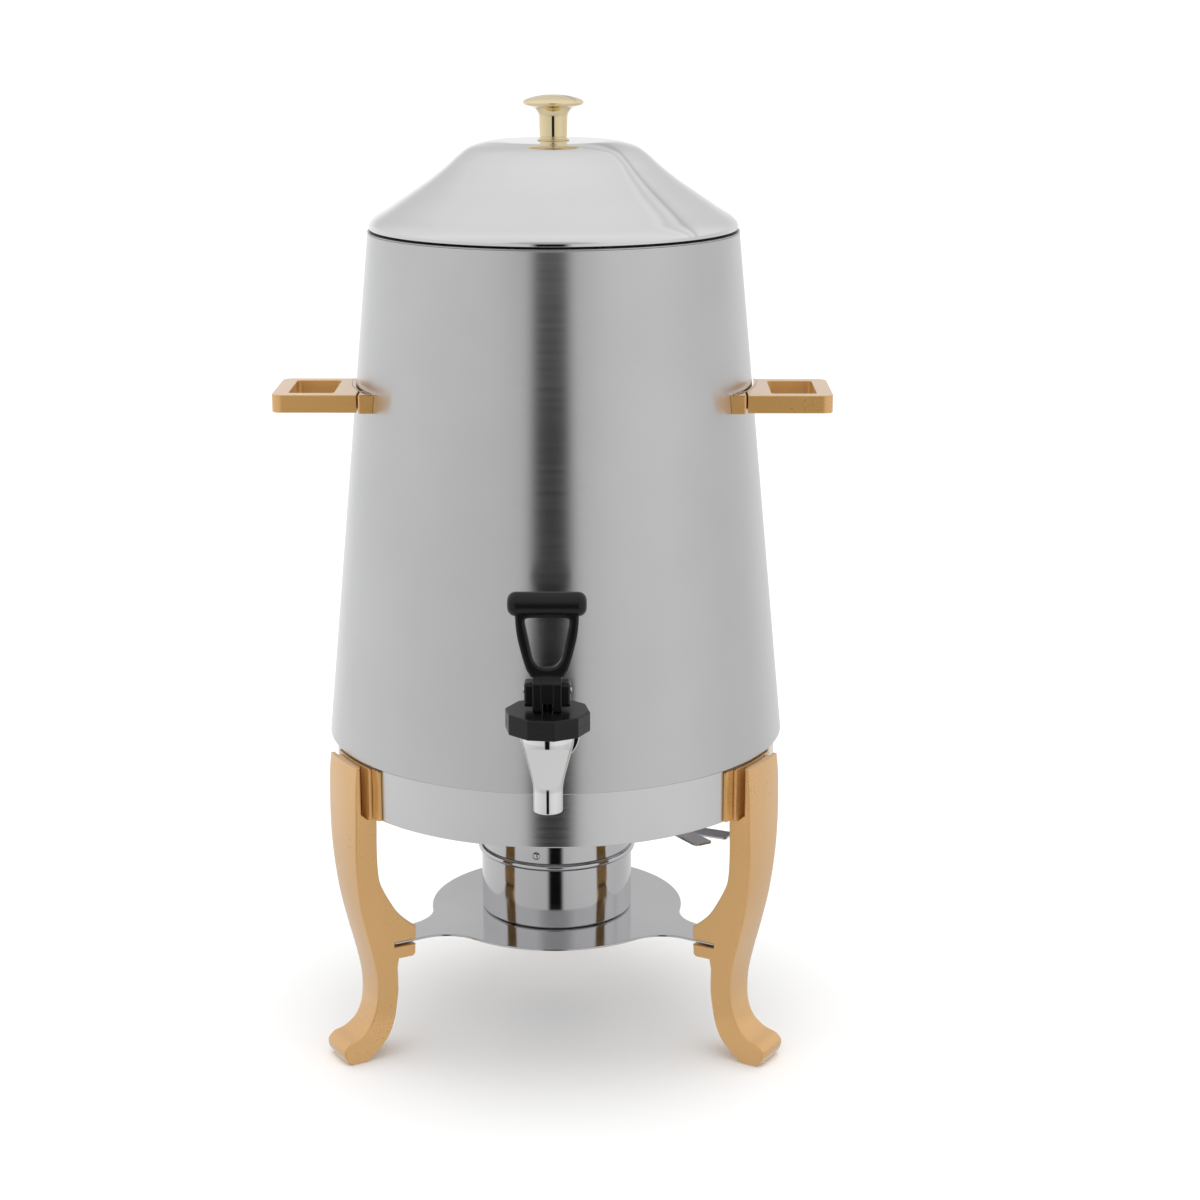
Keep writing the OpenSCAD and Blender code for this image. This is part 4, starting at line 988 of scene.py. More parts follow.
@dataclass
class Lever:
    """Black lever with an open loop and a grip bar.

    Args:
        tap: Tap that carries the lever.
        foot: Height of the lever's foot.
        roof: Height of the root's top.
        shoulder: Drop of the root's sloping front shoulder.
        ear_foot: Height of the ears' foot.
        ear_top: Height of the ears' top.
        ear_half: Half width over the two ears.
        loop_high: Height of the loop's upper end.
        loop_thick: Thickness of the loop, front to back.
        gap_low: Height of the gap's lower end.
        gap_high: Height of the gap's upper end.
        neck_half: Half width of the loop at its root.
        top_half: Half width of the loop at its top.
        gap_half: Half width of the gap.
        grip_radius: Radius of the grip bar.
        grip_half: Half length of the grip bar.
        grip_end: Radius of the grip's rounded ends.
        web_drop: Drop of the front web below the pin, short enough to swing clear of the stem.
        web_half: Half width of the web.
        web_faces: Distances of the web's two faces in front of the spout's axis.
        cheek_half: Half depth of the two cheeks, front to back.
        cheek_faces: Distances of a cheek's two faces from the middle.
        ear_deep: Half depth of the ears.
        ear_start: Distance from the middle where an ear starts inside its cheek.
        crest: Place along Y where the root's top begins, behind the shoulder.
    """

    tap: Tap
    foot: float = 248.1
    roof: float = 267.3
    shoulder: float = 3.6
    ear_foot: float = 250.4
    ear_top: float = 263.5
    ear_half: float = 12.2
    loop_high: float = 302.1
    loop_thick: float = 7.0
    gap_low: float = 270.9
    gap_high: float = 298.5
    neck_half: float = 8.8
    top_half: float = 16.9
    gap_half: float = 12.0
    grip_radius: float = 6.5
    grip_half: float = 21.0
    grip_end: float = 4.6
    web_drop: float = 5.6
    web_half: float = 3.2
    web_faces: Point2 = (7.45, 7.98)
    cheek_half: float = 8.0
    cheek_faces: Point2 = (2.85, 7.8)
    ear_deep: float = 6.0
    ear_start: float = 6.6
    crest: float = -3.6

    def _both(self, half: Outline) -> Outline:
        """Close a right-hand outline with its mirror image, against the clock."""
        return half + [(-x, z) for x, z in reversed(half)]

    def _upright(self) -> Matrix:
        """Return the turn that stands a flat shape up in front view, at the spout's axis."""
        return Matrix(((1, 0, 0, 0), (0, 0, -1, self.tap.axis_y), (0, 1, 0, 0), (0, 0, 0, 1)))

    def loop(self) -> RawMesh:
        """Make the open loop, which stands upright in front view.

        Returns:
            The loop at the lever's place.
        """
        sides = [(0, 0), (0.06, 0.16), (0.12, 0.3), (0.27, 0.51), (0.42, 0.68), (0.575, 0.84), (0.73, 0.94),
                 (0.88, 0.99), (1, 1)]
        low = self.roof - 1
        side = smooth_curve([(self.neck_half + w * (self.top_half - self.neck_half),
                              low + h * (self.loop_high - low)) for h, w in sides], 6)
        gaps = [(0, 0), (0.015, 0.22), (0.06, 0.42), (0.185, 0.63), (0.38, 0.745), (0.58, 0.84),
                (0.775, 0.93), (0.9, 0.98), (0.965, 0.96), (0.99, 0.88), (1, 0.72)]
        rise = self.gap_high - self.gap_low
        gap = smooth_curve([(w * self.gap_half, self.gap_low + h * rise) for h, w in gaps], 5)[1:]
        half = self.loop_thick / 2
        flat = prism(self._both(side), -half, half, 1.5, [self._both(gap)], 5)
        return flat.placed(self._upright())

    def root(self) -> RawMesh:
        """Make the forked root and its two ears, with the holes of the pin.

        Returns:
            The root at the lever's place.
        """
        across = Matrix(((0, 0, 1, 0), (1, 0, 0, self.tap.axis_y), (0, 1, 0, 0), (0, 0, 0, 1)))
        hole = circle_outline(self.tap.pin_radius + 0.06, 40, (0, self.tap.pin_z))
        low = self.roof - self.shoulder
        deep = self.cheek_half
        cheek = softened([(-deep, self.foot), (deep, self.foot), (deep, self.roof), (self.crest, self.roof),
                          (-deep, low)], 1.2, 4)
        ear = box_outline((-self.ear_deep, self.ear_foot), (self.ear_deep, self.ear_top), 2.4)
        raw = RawMesh()
        for side in (1, -1):
            flip = Matrix.Diagonal((side, 1, 1, 1))
            raw.add(prism(cheek, *self.cheek_faces, 0.7, [hole]).placed(flip @ across))
            raw.add(prism(ear, self.ear_start, self.ear_half, 1.1, [hole], 4).placed(flip @ across))
        web_foot = self.tap.pin_z - self.web_drop
        web = box_outline((-self.web_half, web_foot), (self.web_half, low - 0.2), 0.4)
        raw.add(prism(web, *self.web_faces, 0.15).placed(self._upright()))
        roof = [(-7.9, low - 0.9), (-3.7, self.roof - 1.0), (7.9, self.roof - 1.0), (7.9, self.roof),
                (self.crest, self.roof), (-7.9, low + 0.1)]
        return raw.add(prism(roof, -3.4, 3.4, 0.2).placed(across))

    def build(self) -> None:
        """Make the lever and its grip bar."""
        make_piece("lever_loop", self.loop().add(self.root()), BLACK_PLASTIC, "lever", ("tap_lever",), 34)
        core = self.grip_radius - self.grip_end
        end = [(core + self.grip_end * math.cos(math.radians(a)),
                self.grip_half - self.grip_end + self.grip_end * math.sin(math.radians(a)))
               for a in range(0, 91, 9)]
        profile = [(0, -self.grip_half)] + [(r, -x) for r, x in reversed(end)] + end + [(0, self.grip_half)]
        bar = revolve(profile, 96).placed(along((0, self.tap.axis_y, self.tap.grip_z), (1, 0, 0)))
        make_piece("lever_grip_bar", bar, BLACK_PLASTIC, "lever", ("lever_grip",), 40)


@dataclass
class Stand:
    """Ring, three shaped legs with their plates, and the shelf between them.

    Args:
        ring_radius: Outer radius of the ring.
        ring_low: Height of the ring's lower edge.
        ring_high: Height of its upper face.
        sheet: Thickness of the ring's steel.
        ledge: Width of the ledge inside the ring.
        hem: Width of the hem along the lower edge.
        leg_height: Height of a leg.
        leg_reach: Reach of a foot beyond the ring.
        leg_top_width: Width of a leg at its top.
        wall_radius: Inner radius of a leg's outer wall.
        boss_radius: Inner radius of a leg's boss.
        boss_half: Half width of the boss.
        under_ring: Height of the leg's step below the ring.
        tab_radius: Inner face of a leg's tab.
        shelf_high: Height of the shelf's upper face.
        shelf_low: Height of its lower face.
        shelf_radius: Radius of the shelf's lobes.
        tab_half: Half width of the shelf's tabs.
        shelf_reach: Radius at the end of the tabs.
        fillet: Radius of the hollow corners beside the tabs.
        turns: Direction of each leg, counted from -Y.
        plates: For the plate behind each leg and the pad in front of it: word in its name, CAD node,
            half width, heights of the lower and upper edge, and radii of the inner and outer face.
        bolt_reach: Distance of a shelf bolt from the urn's axis.
        bolt_foot: Height of a bolt's head where its dome begins.
        bolt_top: Height of the end of its shank.
        bolt_head: Radius and height of its dome.
        bolt_shank: Radius of its shank.
        slot_half: Half height of the slot that takes the shelf's tab.
        slot_depth: Depth of that slot.
    """

    ring_radius: float = 131.5
    ring_low: float = 154.6
    ring_high: float = 190.3
    sheet: float = 1.5
    ledge: float = 10.0
    hem: float = 2.4
    leg_height: float = 185.6
    leg_reach: float = 18.5
    leg_top_width: float = 37.4
    wall_radius: float = 138.9
    boss_radius: float = 135.4
    boss_half: float = 12.0
    under_ring: float = 154.3
    tab_radius: float = 103.38
    shelf_high: float = 71.4
    shelf_low: float = 70.2
    shelf_radius: float = 76.5
    tab_half: float = 11.5
    shelf_reach: float = 116.18
    fillet: float = 25.0
    turns: tuple[tuple[str, float], ...] = (("left", -60.0), ("right", 60.0), ("rear", 180.0))
    plates: tuple[tuple[str, str, float, float, float, float, float], ...] = (
        ("wide", "bracket", 27.5, 154.7, 185.0, 131.6, 133.4),
        ("narrow", "pad", 21.0, 154.4, 185.5, 133.5, 135.3))
    bolt_reach: float = 109.38
    bolt_foot: float = 61.5
    bolt_top: float = 75.2
    bolt_head: Point2 = (4.0, 2.4)
    bolt_shank: float = 2.0
    slot_half: float = 1.4
    slot_depth: float = 13.6

    def ring(self) -> RawMesh:
        """Make the ring with its ledge and hem.

        Returns:
            The ring about the urn's axis.
        """
        inside = self.ring_radius - self.sheet
        profile = softened([
            (self.ring_radius, self.ring_low), (self.ring_radius, self.ring_high),
            (inside - self.ledge, self.ring_high), (inside - self.ledge, self.ring_high - self.sheet),
            (inside, self.ring_high - self.sheet), (inside, self.ring_low + self.sheet),
            (inside - self.hem, self.ring_low + self.sheet), (inside - self.hem, self.ring_low)], 0.7, 4)
        return revolve(profile, 256)

    def _leg_at(self, shares: Outline, steps: int) -> Outline:
        """Turn shares of reach and height into a smooth curve of a leg's side view."""
        points = [(self.ring_radius + r * self.leg_reach, z * self.leg_height) for r, z in shares]
        return smooth_curve(points, steps) if steps > 1 else points

    def leg_side(self) -> Outline:
        """Draw a leg from the side, against the clock.

        Returns:
            Closed outline of distance from the axis and height.
        """
        toe = self._leg_at([(0.72, 0), (0.86, 0.007), (0.96, 0.022), (1, 0.037)], 1)
        outer = self._leg_at([(0.995, 0.052), (0.81, 0.072), (0.42, 0.085), (0.06, 0.116), (-0.16, 0.166),
                              (-0.225, 0.222), (-0.195, 0.278), (-0.04, 0.354), (0.19, 0.444),
                              (0.42, 0.548), (0.56, 0.667), (0.606, 0.783), (0.585, 0.93), (0.52, 1)], 6)
        upper = self._leg_at([(-0.12, 0.827), (-0.14, 0.722), (-0.225, 0.628), (-0.4, 0.577), (-0.85, 0.498),
                              (-1.2, 0.46)], 1)
        upper_curve = smooth_curve(upper + [(self.tab_radius, self.shelf_high + 9.4)], 6)
        lower = self._leg_at([(-0.905, 0.3), (-0.94, 0.25), (-0.945, 0.205), (-0.86, 0.135), (-0.66, 0.087),
                              (-0.37, 0.05), (0.05, 0.014), (0.24, 0)], 6)
        tab_low = self.shelf_high - 9.8
        slot_mid = (self.shelf_high + self.shelf_low) / 2
        slot_low, slot_high = slot_mid - self.slot_half, slot_mid + self.slot_half
        slot_end = self.tab_radius + self.slot_depth
        top = [(self.wall_radius, self.leg_height), (self.wall_radius, self.under_ring + 3.2),
               (self.boss_radius, self.under_ring), (upper[0][0], self.under_ring)]
        face = self.tab_radius
        tab = [(face, slot_high), (slot_end, slot_high), (slot_end, slot_low), (face, slot_low),
               (face, tab_low + 1.6), (face + 1.6, tab_low), (lower[0][0] - 0.8, tab_low)]
        return divided(toe + outer + top + upper_curve + tab + lower, 5.0)

    def leg_half_width(self, height: float) -> float:
        """Find the half width of a leg at a height.

        Args:
            height: Height above the floor.

        Returns:
            The half width in millimetres.
        """
        shares = [(0, 0.68), (0.06, 0.665), (0.12, 0.575), (0.17, 0.575), (0.23, 0.63), (0.35, 0.72),
                  (0.54, 0.79), (0.67, 0.89), (0.8, 0.985), (0.92, 1), (1, 0.995)]
        curve = smooth_curve(shares, 6)
        share = min(max(height / self.leg_height, 0), 1)
        for (low, start), (high, end) in zip(curve, curve[1:]):
            if share <= high:
                return self.leg_top_width / 2 * (start + (end - start) * (share - low) / (high - low))
        return self.leg_top_width / 2 * curve[-1][1]

    def _around(self, x: float, radius: float, height: float) -> Point3:
        """Return the point of a leg at a radius, a height and a distance from its middle."""
        return (x, -math.sqrt(radius * radius - x * x), height)

    def leg(self) -> RawMesh:
        """Make one leg, pointing to -Y.

        Returns:
            The leg with its boss.
        """
        side = self.leg_side()
        widths = [self.leg_half_width(z) for _, z in side]
        bevel = 1.0
        rows: list[tuple[float, float, float]] = []
        rows += [(i, -1.0, d) for i, d in bevel_steps(bevel, 4)]
        rows += [(0.0, t, bevel) for t in (-0.75, -0.5, -0.25, 0.0, 0.25, 0.5, 0.75)]
        rows += [(i, 1.0, d) for i, d in reversed(bevel_steps(bevel, 4))]
        rings: list[list[Point3]] = []
        for cut, share, depth in rows:
            moved = inset(side, cut)
            rings.append([self._around(share * (w - depth), r, max(z, 0.0))
                          for (r, z), w in zip(moved, widths)])
        raw = capped(rings, inset(side, bevel))
        half, top = self.boss_half, self.leg_height - 0.2
        boss = divided([(-half, self.under_ring), (half, self.under_ring), (half, top), (-half, top)], 3.0)
        return raw.add(self._curved(boss, self.boss_radius, self.wall_radius + 0.6, 0.3))

    def _curved(self, outline: Outline, inner: float, outer: float, bevel: float) -> RawMesh:
        """Bend a flat outline around the ring, between two radii.

        Args:
            outline: Outline seen from outside, against the clock.
            inner: Radius of the inner face.
            outer: Radius of the outer face.
            bevel: Radius of the rounded edges.

        Returns:
            The bent plate, pointing to -Y.
        """
        rows = [(i, outer - d) for i, d in bevel_steps(bevel, 3)]
        rows += [(i, inner + d) for i, d in reversed(bevel_steps(bevel, 3))]
        rings = [[self._around(x, radius, z) for x, z in inset(outline, cut)] for cut, radius in rows]
        return capped(rings, inset(outline, bevel))

    def plate(self, half: float, low: float, high: float, inner: float, outer: float) -> RawMesh:
        """Make the curved plate behind a leg.

        Args:
            half: Half width of the plate.
            low: Height of its lower edge.
            high: Height of its upper edge.
            inner: Radius of its inner face.
            outer: Radius of its outer face.

        Returns:
            The plate, pointing to -Y.
        """
        outline = divided(box_outline((-half, low), (half, high), 1.2, 3), 3.0)
        return self._curved(outline, inner, outer, 0.35)

    def shelf(self) -> RawMesh:
        """Make the shelf with three lobes, three tabs and hollow corners.

        Returns:
            The shelf plate.
        """
        across = self.tab_half + self.fillet
        reach = self.shelf_radius + self.fillet
        centre = math.sqrt(reach ** 2 - across ** 2)
        touch = math.atan2(across, centre)
        outline: Outline = []
        for _, turn in self.turns:
            heading = math.radians(turn - 90)
            local: Outline = []
            sweep = math.pi / 2 - touch
            for k in range(13):
                angle = math.pi - touch - sweep * k / 12
                local.append((centre + self.fillet * math.cos(angle),
                              -across + self.fillet * math.sin(angle)))
            tip = softened([local[-1], (self.shelf_reach, -self.tab_half), (self.shelf_reach, self.tab_half),
                            (centre, self.tab_half)], 2.0, 4, closed=False)
            local += tip[1:-1] + [(x, -y) for x, y in reversed(local)]
            lobe = 2 * math.pi / 3 - 2 * touch
            local += [(self.shelf_radius * math.cos(touch + lobe * k / 40),
                       self.shelf_radius * math.sin(touch + lobe * k / 40)) for k in range(1, 40)]
            outline += [(x * math.cos(heading) - y * math.sin(heading),
                         x * math.sin(heading) + y * math.cos(heading)) for x, y in local]
        return prism(outline, self.shelf_low, self.shelf_high, 0.3)

    def bolt(self) -> RawMesh:
        """Make one dome-headed bolt under a tab, pointing to -Y."""
        foot = self.bolt_foot
        radius, height = self.bolt_head
        dome = [(radius * math.cos(math.radians(a)), foot - height * math.sin(math.radians(a)))
                for a in range(0, 90, 9)]
        socket = [(1.5, foot - 2.35), (1.3, foot - 1.2), (0, foot - 1.1)]
        shank = [(0, self.bolt_top), (self.bolt_shank, self.bolt_top), (self.bolt_shank, foot)]
        profile = shank + dome + socket
        return revolve(profile, 48).placed(Matrix.Translation((0, -self.bolt_reach, 0)))

    def build(self) -> None:
        """Make the stand's pieces."""
        # The ring takes the body's steel with its colour painted lighter.
        make_piece("stand_ring_band", self.ring(), RING_STEEL_PAINTED_LIGHTER, "stand", ("stand_ring",))
        leg = self.leg()
        bolts = RawMesh()
        for side, turn in self.turns:
            make_piece(f"{side}_leg", leg.placed(turn_z(turn)), GOLD_COAT, "stand", (f"leg_{side}",), 40)
            for word, node, *sizes in self.plates:
                plate = self.plate(*sizes).placed(turn_z(turn))
                make_piece(f"{side}_{word}_plate", plate, GOLD_COAT, "stand", (f"{node}_{side}",))
            bolts.add(self.bolt().placed(turn_z(turn)))
        make_piece("shelf_sheet", self.shelf(), SHELF_STEEL, "stand", ("shelf_plate",))
        make_piece("shelf_dome_bolts", bolts, FASTENER_STEEL, "stand", ("shelf_bolts",), 40)
        dress_nodes(FASTENER_STEEL, "leg_screws")


@dataclass
class Burner:
    """Burner can with its collar, handle strip and snuffer.

    Args:
        radius: Outer radius of the can.
        sheet: Thickness of its steel.
        base: Height of the can's foot.
        can_top: Height of the can's upper edge.
        bead_low: Height where the bead starts.
        bead_high: Height where the bead ends.
        bead_reach: How far the bead stands out.
        top: Height of the collar's upper edge.
        turn: Direction of the handle, counted from +X.
        open_turn: Angle by which the snuffer stands open.
        pivot_reach: Distance of the rivet from the axis.
        strip_end: Distance of the strip's end from the axis.
        strip_half: Half width of the strips.
        strip: Thickness of the strips.
        lug: Height of the handle's lug on the collar.
        snuffer_low: Height of the snuffer's lower face.
        snuffer_radius: Radius of the snuffer's disc.
        screw_turns: Directions of the collar's screws.
        screw_z: Height of the screws.
        hole_radius: Radius of the rivet's hole in both strips.
        corner: Radius of the can's round lower corner.
        strip_corner: Radius of the corners at the strips' ends.
        rivet_head: Radius of the rivet's two domes.
        rivet_shank: Radius of its shank.
    """

    radius: float = 45.7
    sheet: float = 0.9
    base: float = 71.5
    can_top: float = 108.4
    bead_low: float = 108.5
    bead_high: float = 112.9
    bead_reach: float = 2.2
    top: float = 132.1
    turn: float = -24.5
    open_turn: float = 33.0
    pivot_reach: float = 72.0
    strip_end: float = 114.0
    strip_half: float = 6.0
    strip: float = 1.2
    lug: float = 11.0
    snuffer_low: float = 132.4
    snuffer_radius: float = 46.3
    screw_turns: tuple[float, ...] = (-104.0, 16.0, 136.0)
    screw_z: float = 117.5
    hole_radius: float = 2.1
    corner: float = 1.5
    strip_corner: float = 2.4
    rivet_head: float = 3.6
    rivet_shank: float = 2.0

    def can(self) -> RawMesh:
        """Make the drawn can with its round lower corner."""
        inside = self.radius - self.sheet
        profile = [(0, self.base), (self.radius - 2.2, self.base)]
        bend = self.corner
        profile += [(self.radius - bend + bend * math.cos(a), self.base + bend - bend * math.sin(a))
                    for a in (math.pi / 2 * (1 - k / 5) for k in range(6))]
        profile += [(self.radius, self.can_top - 0.2), (self.radius - 0.25, self.can_top),
                    (inside, self.can_top), (inside, self.base + 1.8), (inside - 1.2, self.base + self.sheet),
                    (0, self.base + self.sheet)]
        return revolve(profile, 192)

    def collar(self) -> RawMesh:
        """Make the collar with its raised bead, its lip and its folded upper edge."""
        inside = self.radius - self.sheet
        lip = inside - 0.1
        middle = (self.bead_low + self.bead_high) / 2
        half = (self.bead_high - self.bead_low) / 2
        bead = [(self.radius + self.bead_reach * math.cos(math.radians(a)),
                 middle + half * math.sin(math.radians(a))) for a in range(-90, 91, 10)]
        edge = [(self.radius, self.top - 0.3), (self.radius - 0.15, self.top - 0.08),
                (self.radius - 0.45, self.top), (inside + 0.15, self.top - 0.08), (inside, self.top - 0.3)]
        profile = ([(lip - self.sheet, self.bead_low - 3), (lip, self.bead_low - 3), (lip, self.bead_low)]
                   + bead + edge + [(inside, self.bead_low + self.sheet),
                                    (lip - self.sheet, self.bead_low + self.sheet)])
        return revolve(profile, 192)

    def screws(self) -> RawMesh:
        """Make the collar's small screws and the rivets of the lug."""
        raw = RawMesh()
        head = [(0, 1.2), (0.6, 1.18), (1.3, 1.0), (2.0, 0.62), (2.4, 0.1), (2.4, 0), (1.45, 0), (1.45, -1.2),
                (0, -1.2)]
        small = [(r / 2, z / 2) for r, z in head]
        for turn in self.screw_turns:
            place = along((self.radius + 0.1, 0, self.screw_z), (1, 0, 0))
            raw.add(revolve(head, 48).placed(turn_z(turn) @ place))
        for side in (-1, 1):
            place = along((self.radius + 1.6, side * self.strip_half / 2, self.top - self.lug / 2), (1, 0, 0))
            raw.add(revolve(small, 36).placed(turn_z(self.turn) @ place))
        return raw

    def handle(self) -> RawMesh:
        """Make the handle: a curved lug on the collar, bent into a flat strip.

        Returns:
            The handle at its place.
        """
        inner, outer = self.radius + 0.1, self.radius + 1.4
        ys = [-self.strip_half + 2 * self.strip_half * k / 8 for k in range(9)]
        near = [(math.sqrt(inner ** 2 - y * y), y) for y in reversed(ys)]
        raw = prism(near + [(outer, y) for y in ys], self.top - self.lug, self.top, 0.25)
        hole = circle_outline(self.hole_radius, 40, (self.pivot_reach, 0))
        end = softened([near[-1], (self.strip_end, -self.strip_half), (self.strip_end, self.strip_half),
                        near[0]], self.strip_corner, 6, closed=False)
        raw.add(prism(near[1:-1] + end, self.top - self.strip, self.top, 0.25, [hole]))
        return raw.placed(turn_z(self.turn))

    def snuffer(self) -> RawMesh:
        """Make the snuffer: a disc and its strip in one sheet, about the rivet.

        Returns:
            The snuffer at its place.
        """
        reach = self.strip_end - self.pivot_reach
        start = math.asin(self.strip_half / self.snuffer_radius)
        arc = [(-self.pivot_reach + self.snuffer_radius * math.cos(a), self.snuffer_radius * math.sin(a))
               for a in (start + (2 * math.pi - 2 * start) * k / 120 for k in range(121))]
        tip = softened([arc[-1], (reach, -self.strip_half), (reach, self.strip_half), arc[0]],
                       self.strip_corner, 6, closed=False)
        hole = circle_outline(self.hole_radius, 40)
        sheet = prism(arc[1:-1] + tip, self.snuffer_low, self.snuffer_low + self.strip, 0.3, [hole])
        pivot = self._pivot()
        return sheet.placed(Matrix.Translation(pivot) @ turn_z(self.turn - self.open_turn))

    def _pivot(self) -> Vector:
        """Return the place of the rivet's axis."""
        angle = math.radians(self.turn)
        return Vector((self.pivot_reach * math.cos(angle), self.pivot_reach * math.sin(angle), 0))

    def rivet(self) -> RawMesh:
        """Make the rivet of the snuffer, with its two low domes."""
        low, high = self.top - self.strip - 0.1, self.snuffer_low + self.strip + 0.3
        dome = [(self.rivet_head, 0), (self.rivet_head, 0.15), (3.0, 0.7), (1.9, 1.1), (0, 1.2)]
        upper = [(r, high + z) for r, z in dome]
        lower = [(r, low - z) for r, z in reversed(dome)]
        profile = lower + [(self.rivet_shank, low), (self.rivet_shank, high)] + upper
        return revolve(profile, 48).placed(Matrix.Translation(self._pivot()))

    def build(self) -> None:
        """Make the burner's pieces and dress the cup inside it."""
        make_piece("burner_can_shell", self.can(), BURNER_STEEL, "burner", ("burner_can",), 40)
        make_piece("burner_collar_band", self.collar(), BURNER_STEEL, "burner", ("burner_collar",), 40)
        make_piece("burner_small_screws", self.screws(), FASTENER_STEEL, "burner", ("burner_screws",), 40)
        make_piece("burner_handle_strip", self.handle(), BURNER_STEEL, "burner", ("burner_handle",))
        make_piece("snuffer_rivet_head", self.rivet(), FASTENER_STEEL, "burner", ("snuffer_rivet",), 40)
        make_piece("snuffer_sheet", self.snuffer(), BURNER_STEEL, "snuffer", ("snuffer_lid",))
        dress_nodes(INNER_STEEL, "fuel_cup")


# ---------------------------------------------------------------- studio


@dataclass
class Studio:
    """Plain floor, soft light and the camera at the photograph's angle.

    Args:
        camera_place: Place of the camera, in metres.
        camera_tilt: Turn of the camera about X, in radians.
        camera_yaw: Turn of the camera about Z, in degrees.
        lens: Focal length for a 36 mm wide sensor.
        floor_half: Half width of the floor, in metres.
        floor_grey: Brightness of the floor's paint.
        lamp_place: Place of the lamp above the urn, in metres.
        lamp_width: Width of that lamp, in metres.
        lamp_power: Power of that lamp, in watts.
        even_strength: Strength of the even light from above.
        even_spread: Angle over which the even light comes, in degrees.
        edge_turn: Turn of the lamp's edge on the lid, in degrees.
        edge_from: Upward parts of the direction between which the lamp's edge sets in.
        around: Brightness of the room's walls at angles from the front, the two ends first.
        dim_below: How much the walls keep of it from straight down (0) to straight up (1), ends first.
        under: Brightness of the room's floor.
        under_from: Upward parts of the direction where the walls end and the floor is full.
        ceiling: Brightness of the ceiling from the front (0) to the back (1), the two ends first.
        ceiling_from: Upward parts of the direction where the walls end and the ceiling is full.
        lamp_edge: Factor of brightness across the edge of the lamp, the two ends first.
    """

    camera_place: Point3 = (0.0372, -1.4197, 0.6288)
    camera_tilt: float = math.pi / 2 - 0.2518
    camera_yaw: float = 0.428
    lens: float = 73.58
    floor_half: float = 400.0
    floor_grey: float = 0.97
    lamp_place: Point3 = (0.0, -0.2, 2.4)
    lamp_width: float = 2.6
    lamp_power: float = 10.0
    even_strength: float = 1.15
    even_spread: float = 120.0
    edge_turn: float = 50.0
    edge_from: Point2 = (0.1, 0.2)
    around: tuple[Point2, ...] = (
        (-180, 0.93), (180, 0.93), (-164, 0.97), (-140, 0.85), (-116, 0.82), (-81, 0.77), (-60, 0.73),
        (-41, 0.69), (-21, 0.66), (-14, 0.64), (-11.2, 0.34), (-8.8, 0.006), (7.8, 0.006), (10.2, 0.34),
        (13, 0.66), (33, 0.755), (65, 0.79), (101, 0.71), (121, 0.72), (146, 0.8), (163, 0.79))
    dim_below: tuple[Point2, ...] = ((0.0, 0.5), (1.0, 1.0), (0.312, 0.86), (0.345, 1.0), (0.5, 1.0))
    under: float = 0.64
    under_from: Point2 = (-0.49, -0.56)
    ceiling: tuple[Point2, ...] = (
        (0.0, 0.4), (1.0, 0.66), (0.05, 0.5), (0.1, 0.82), (0.5, 0.92), (0.8, 0.84), (0.92, 0.72))
    ceiling_from: Point2 = (0.03, 0.3)
    lamp_edge: tuple[Point2, ...] = (
        (0.0, 0.97), (1.0, 1.06), (0.62, 0.97), (0.66, 1.03), (0.695, 0.86), (0.72, 1.0), (0.74, 1.0),
        (0.757, 0.70), (0.775, 0.92), (0.80, 1.0))

    def camera(self) -> None:
        """Make the camera and use it."""
        data = bpy.data.cameras.new("studio_camera")
        data.lens = self.lens
        data.sensor_width = 36.0
        data.clip_start = 0.05
        data.clip_end = 900.0
        view = bpy.data.objects.new("studio_camera", data)
        view.location = self.camera_place
        view.rotation_euler = (self.camera_tilt, 0.0, math.radians(self.camera_yaw))
        bpy.context.scene.collection.objects.link(view)
        bpy.context.scene.camera = view

    def floor(self) -> None:
        """Lay the plain pale floor."""
        mesh = bpy.data.meshes.new("studio_floor")
        half = self.floor_half
        mesh.from_pydata([(-half, -half, 0), (half, -half, 0), (half, half, 0), (-half, half, 0)], [],
                         [(0, 1, 2, 3)])
        paint = bpy.data.materials.new("studio_floor_paint")
        paint.use_nodes = True
        set_inputs(paint.node_tree.nodes["Principled BSDF"],
                   {"Base Color": (self.floor_grey,) * 3 + (1,), "Roughness": 0.85,
                    "Specular IOR Level": 0.1})
        mesh.materials.append(paint)
        floor = bpy.data.objects.new("studio_floor", mesh)
        floor.visible_glossy = False
        bpy.context.scene.collection.objects.link(floor)

    def lights(self) -> None:
        """Hang a wide soft lamp above the urn and add an even light; neither shows in the metal."""
        data = bpy.data.lights.new("studio_top_lamp", "AREA")
        data.shape = "DISK"
        data.size = self.lamp_width
        data.energy = self.lamp_power
        lamp = bpy.data.objects.new("studio_top_lamp", data)
        lamp.location = self.lamp_place
        lamp.visible_glossy = False
        lamp.visible_camera = False
        bpy.context.scene.collection.objects.link(lamp)
        sky = bpy.data.lights.new("studio_even_light", "SUN")
        sky.energy = self.even_strength
        sky.angle = math.radians(self.even_spread)
        even = bpy.data.objects.new("studio_even_light", sky)
        even.visible_glossy = False
        bpy.context.scene.collection.objects.link(even)

